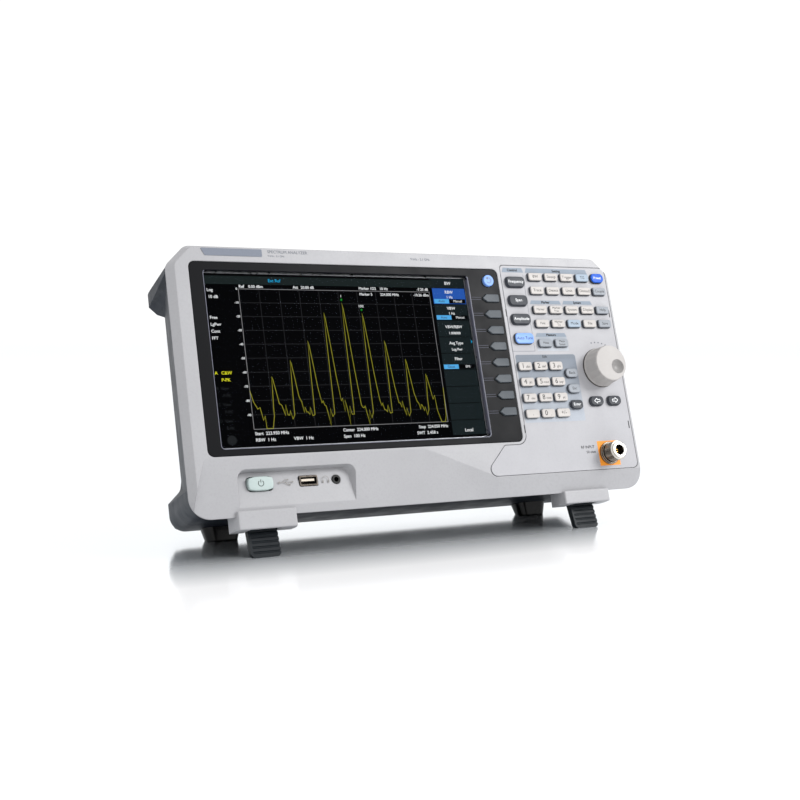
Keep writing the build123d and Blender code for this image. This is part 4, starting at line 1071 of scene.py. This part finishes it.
MENU_X = (217.5, 247.4)
MENU_TOP = 172.0
MENU_STEP = 13.55
menu = Shape()
menu.slab(MENU_X, layer(1), (MENU_TOP + 0.4, 180.0))
for number in range(SOFT_COUNT):
    top = MENU_TOP - MENU_STEP * number
    menu.slab(MENU_X, layer(1), (top - MENU_STEP + 0.5, top))
menu.slab(MENU_X, layer(1), (52.0, MENU_TOP - MENU_STEP * SOFT_COUNT))
piece("screen_menu", menu, "case", LIT["menu"])
active = Shape()
active.slab(MENU_X, layer(2), (MENU_TOP - MENU_STEP + 0.6, MENU_TOP))
piece("screen_menu_active", active, "case", LIT["blue"])
toggles = Shape()
field_boxes = Shape()
for number in (0, 1, 4):
    z0 = MENU_TOP - MENU_STEP * (number + 1) + 1.0
    toggles.slab((MENU_X[0] + 0.6, MENU_X[0] + 14.0), layer(3), (z0, z0 + 3.6))
    field_boxes.slab((MENU_X[0] + 14.2, MENU_X[1] - 0.6), layer(3), (z0, z0 + 3.6))
piece("screen_toggles", toggles, "case", LIT["sky"])
piece("screen_toggle_fields", field_boxes, "case", LIT["black"])
middle = sum(MENU_X) / 2
legend("screen_menu_legend", LIT["white"], LAYERS[4], (
    ("BW", middle, 176.2, 3.6), ("RBW", middle, 168.8, 3.4), ("1 Hz", middle, 164.6, 3.0),
    ("Manual", 239.6, 161.3, 2.8), ("VBW", middle, 155.2, 3.4), ("1 Hz", middle, 151.0, 3.0),
    ("Manual", 239.6, 147.7, 2.8), ("VBW/RBW", middle, 139.8, 3.3),
    ("1.000000", middle, 134.6, 2.9), ("Avg Type", middle, 126.4, 3.3),
    ("Log Pwr", middle, 121.2, 2.9), ("Filter", middle, 113.4, 3.3), ("EMI", 240.0, 107.0, 2.8),
    ("Local", middle, 55.6, 3.6)))
legend("screen_toggle_legend", ink_dark, LAYERS[4],
       [(words, MENU_X[0] + 7.3, MENU_TOP - MENU_STEP * (number + 1) + 2.8, 2.8)
        for words, number in (("Auto", 0), ("Auto", 1), ("Gauss", 4))])

# fine lines that lead from the soft keys to the display
leads = Shape()
for number in range(SOFT_COUNT):
    z = SOFT_TOP_Z - number * SOFT_PITCH
    for side in (-0.9, 0.9):
        leads.stroke([(250.4, z + side), (SOFT_X[0] - 0.8, z + side)], 0.35, 0.22, 0.4)
piece("soft_key_leads", leads, "case", printed("ink_leads", tone(66, 68, 82)))

# ---- badge and small print
patches("badge_plate", ink_badge, [filleted([(29.5, 192.6, 0.6), (74.0, 192.6, 0.6),
                                             (74.0, 198.2, 0.6), (26.5, 198.2, 0.6)])],
        (-0.35, 0.2))
legend("name_legend", ink_soft, PRINT[0],
       (("SPECTRUM ANALYZER", 78.5, 196.6, 3.2, "LEFT"), ("9 kHz - 2.1 GHz", 78.5, 193.4, 2.0, "LEFT"),
        ("9 kHz - 2.1 GHz", 208.0, 194.4, 2.6)))

# ---- floor, light, camera
FLOOR_HALF = 30.0
LIGHTS_AIM = Vector((0.0, 0.0, 0.1))


def make_floor():
    """A pale glossy table, polished under the instrument and matt farther out."""
    half = FLOOR_HALF
    mesh = bpy.data.meshes.new("floor")
    mesh.from_pydata([(-half, -half, 0), (half, -half, 0), (half, half, 0), (-half, half, 0)], [],
                     [(0, 1, 2, 3)])
    surface = Surface("floor", 0.14, 0.0, 0.5)
    split = surface.node("ShaderNodeSeparateXYZ")
    surface.link(surface.place, split.inputs["Vector"])
    polish = surface.spread(split.outputs["Y"], 0.0, 0.82, -0.145, -0.05)
    surface.feed(polish, "Metallic")
    grey = tone(246, 246, 247)
    pale = surface.mix(surface.noise(3.0), grey, shade(grey, 0.985))
    surface.paint(surface.mix(polish, pale, tone(241, 247, 252)))
    mesh.materials.append(surface.material)
    made = placed("floor", mesh)


def softbox(name, location, size, power):
    light = bpy.data.lights.new(name, "AREA")
    light.shape = "RECTANGLE"
    light.size, light.size_y = size
    light.energy = power
    made = placed(name, light)
    made.location = location
    aim = LIGHTS_AIM - Vector(location)
    made.rotation_euler = aim.to_track_quat("-Z", "Y").to_euler()


make_floor()
world = bpy.data.worlds.new("studio")
world.use_nodes = True
background = next(n for n in world.node_tree.nodes if n.type == "BACKGROUND")
background.inputs["Color"].default_value = (1.0, 1.0, 1.0, 1.0)
background.inputs["Strength"].default_value = 1.08
bpy.context.scene.world = world
bpy.context.scene.view_settings.view_transform = "Standard"
softbox("key_light", (1.5, -1.5, 1.4), (1.0, 1.0), 46.0)
softbox("top_light", (0.3, 0.5, 2.2), (2.2, 1.6), 7.0)

camera = bpy.data.cameras.new("camera")
camera.lens = 54.42
camera.sensor_width = 36.0
camera.clip_start = 0.01
eye = placed("camera", camera)
eye.location = (-0.45362, -0.86242, 0.15919)
eye.rotation_euler = (math.radians(90 - 3.25), 0.0, math.radians(-27.85))
bpy.context.scene.camera = eye
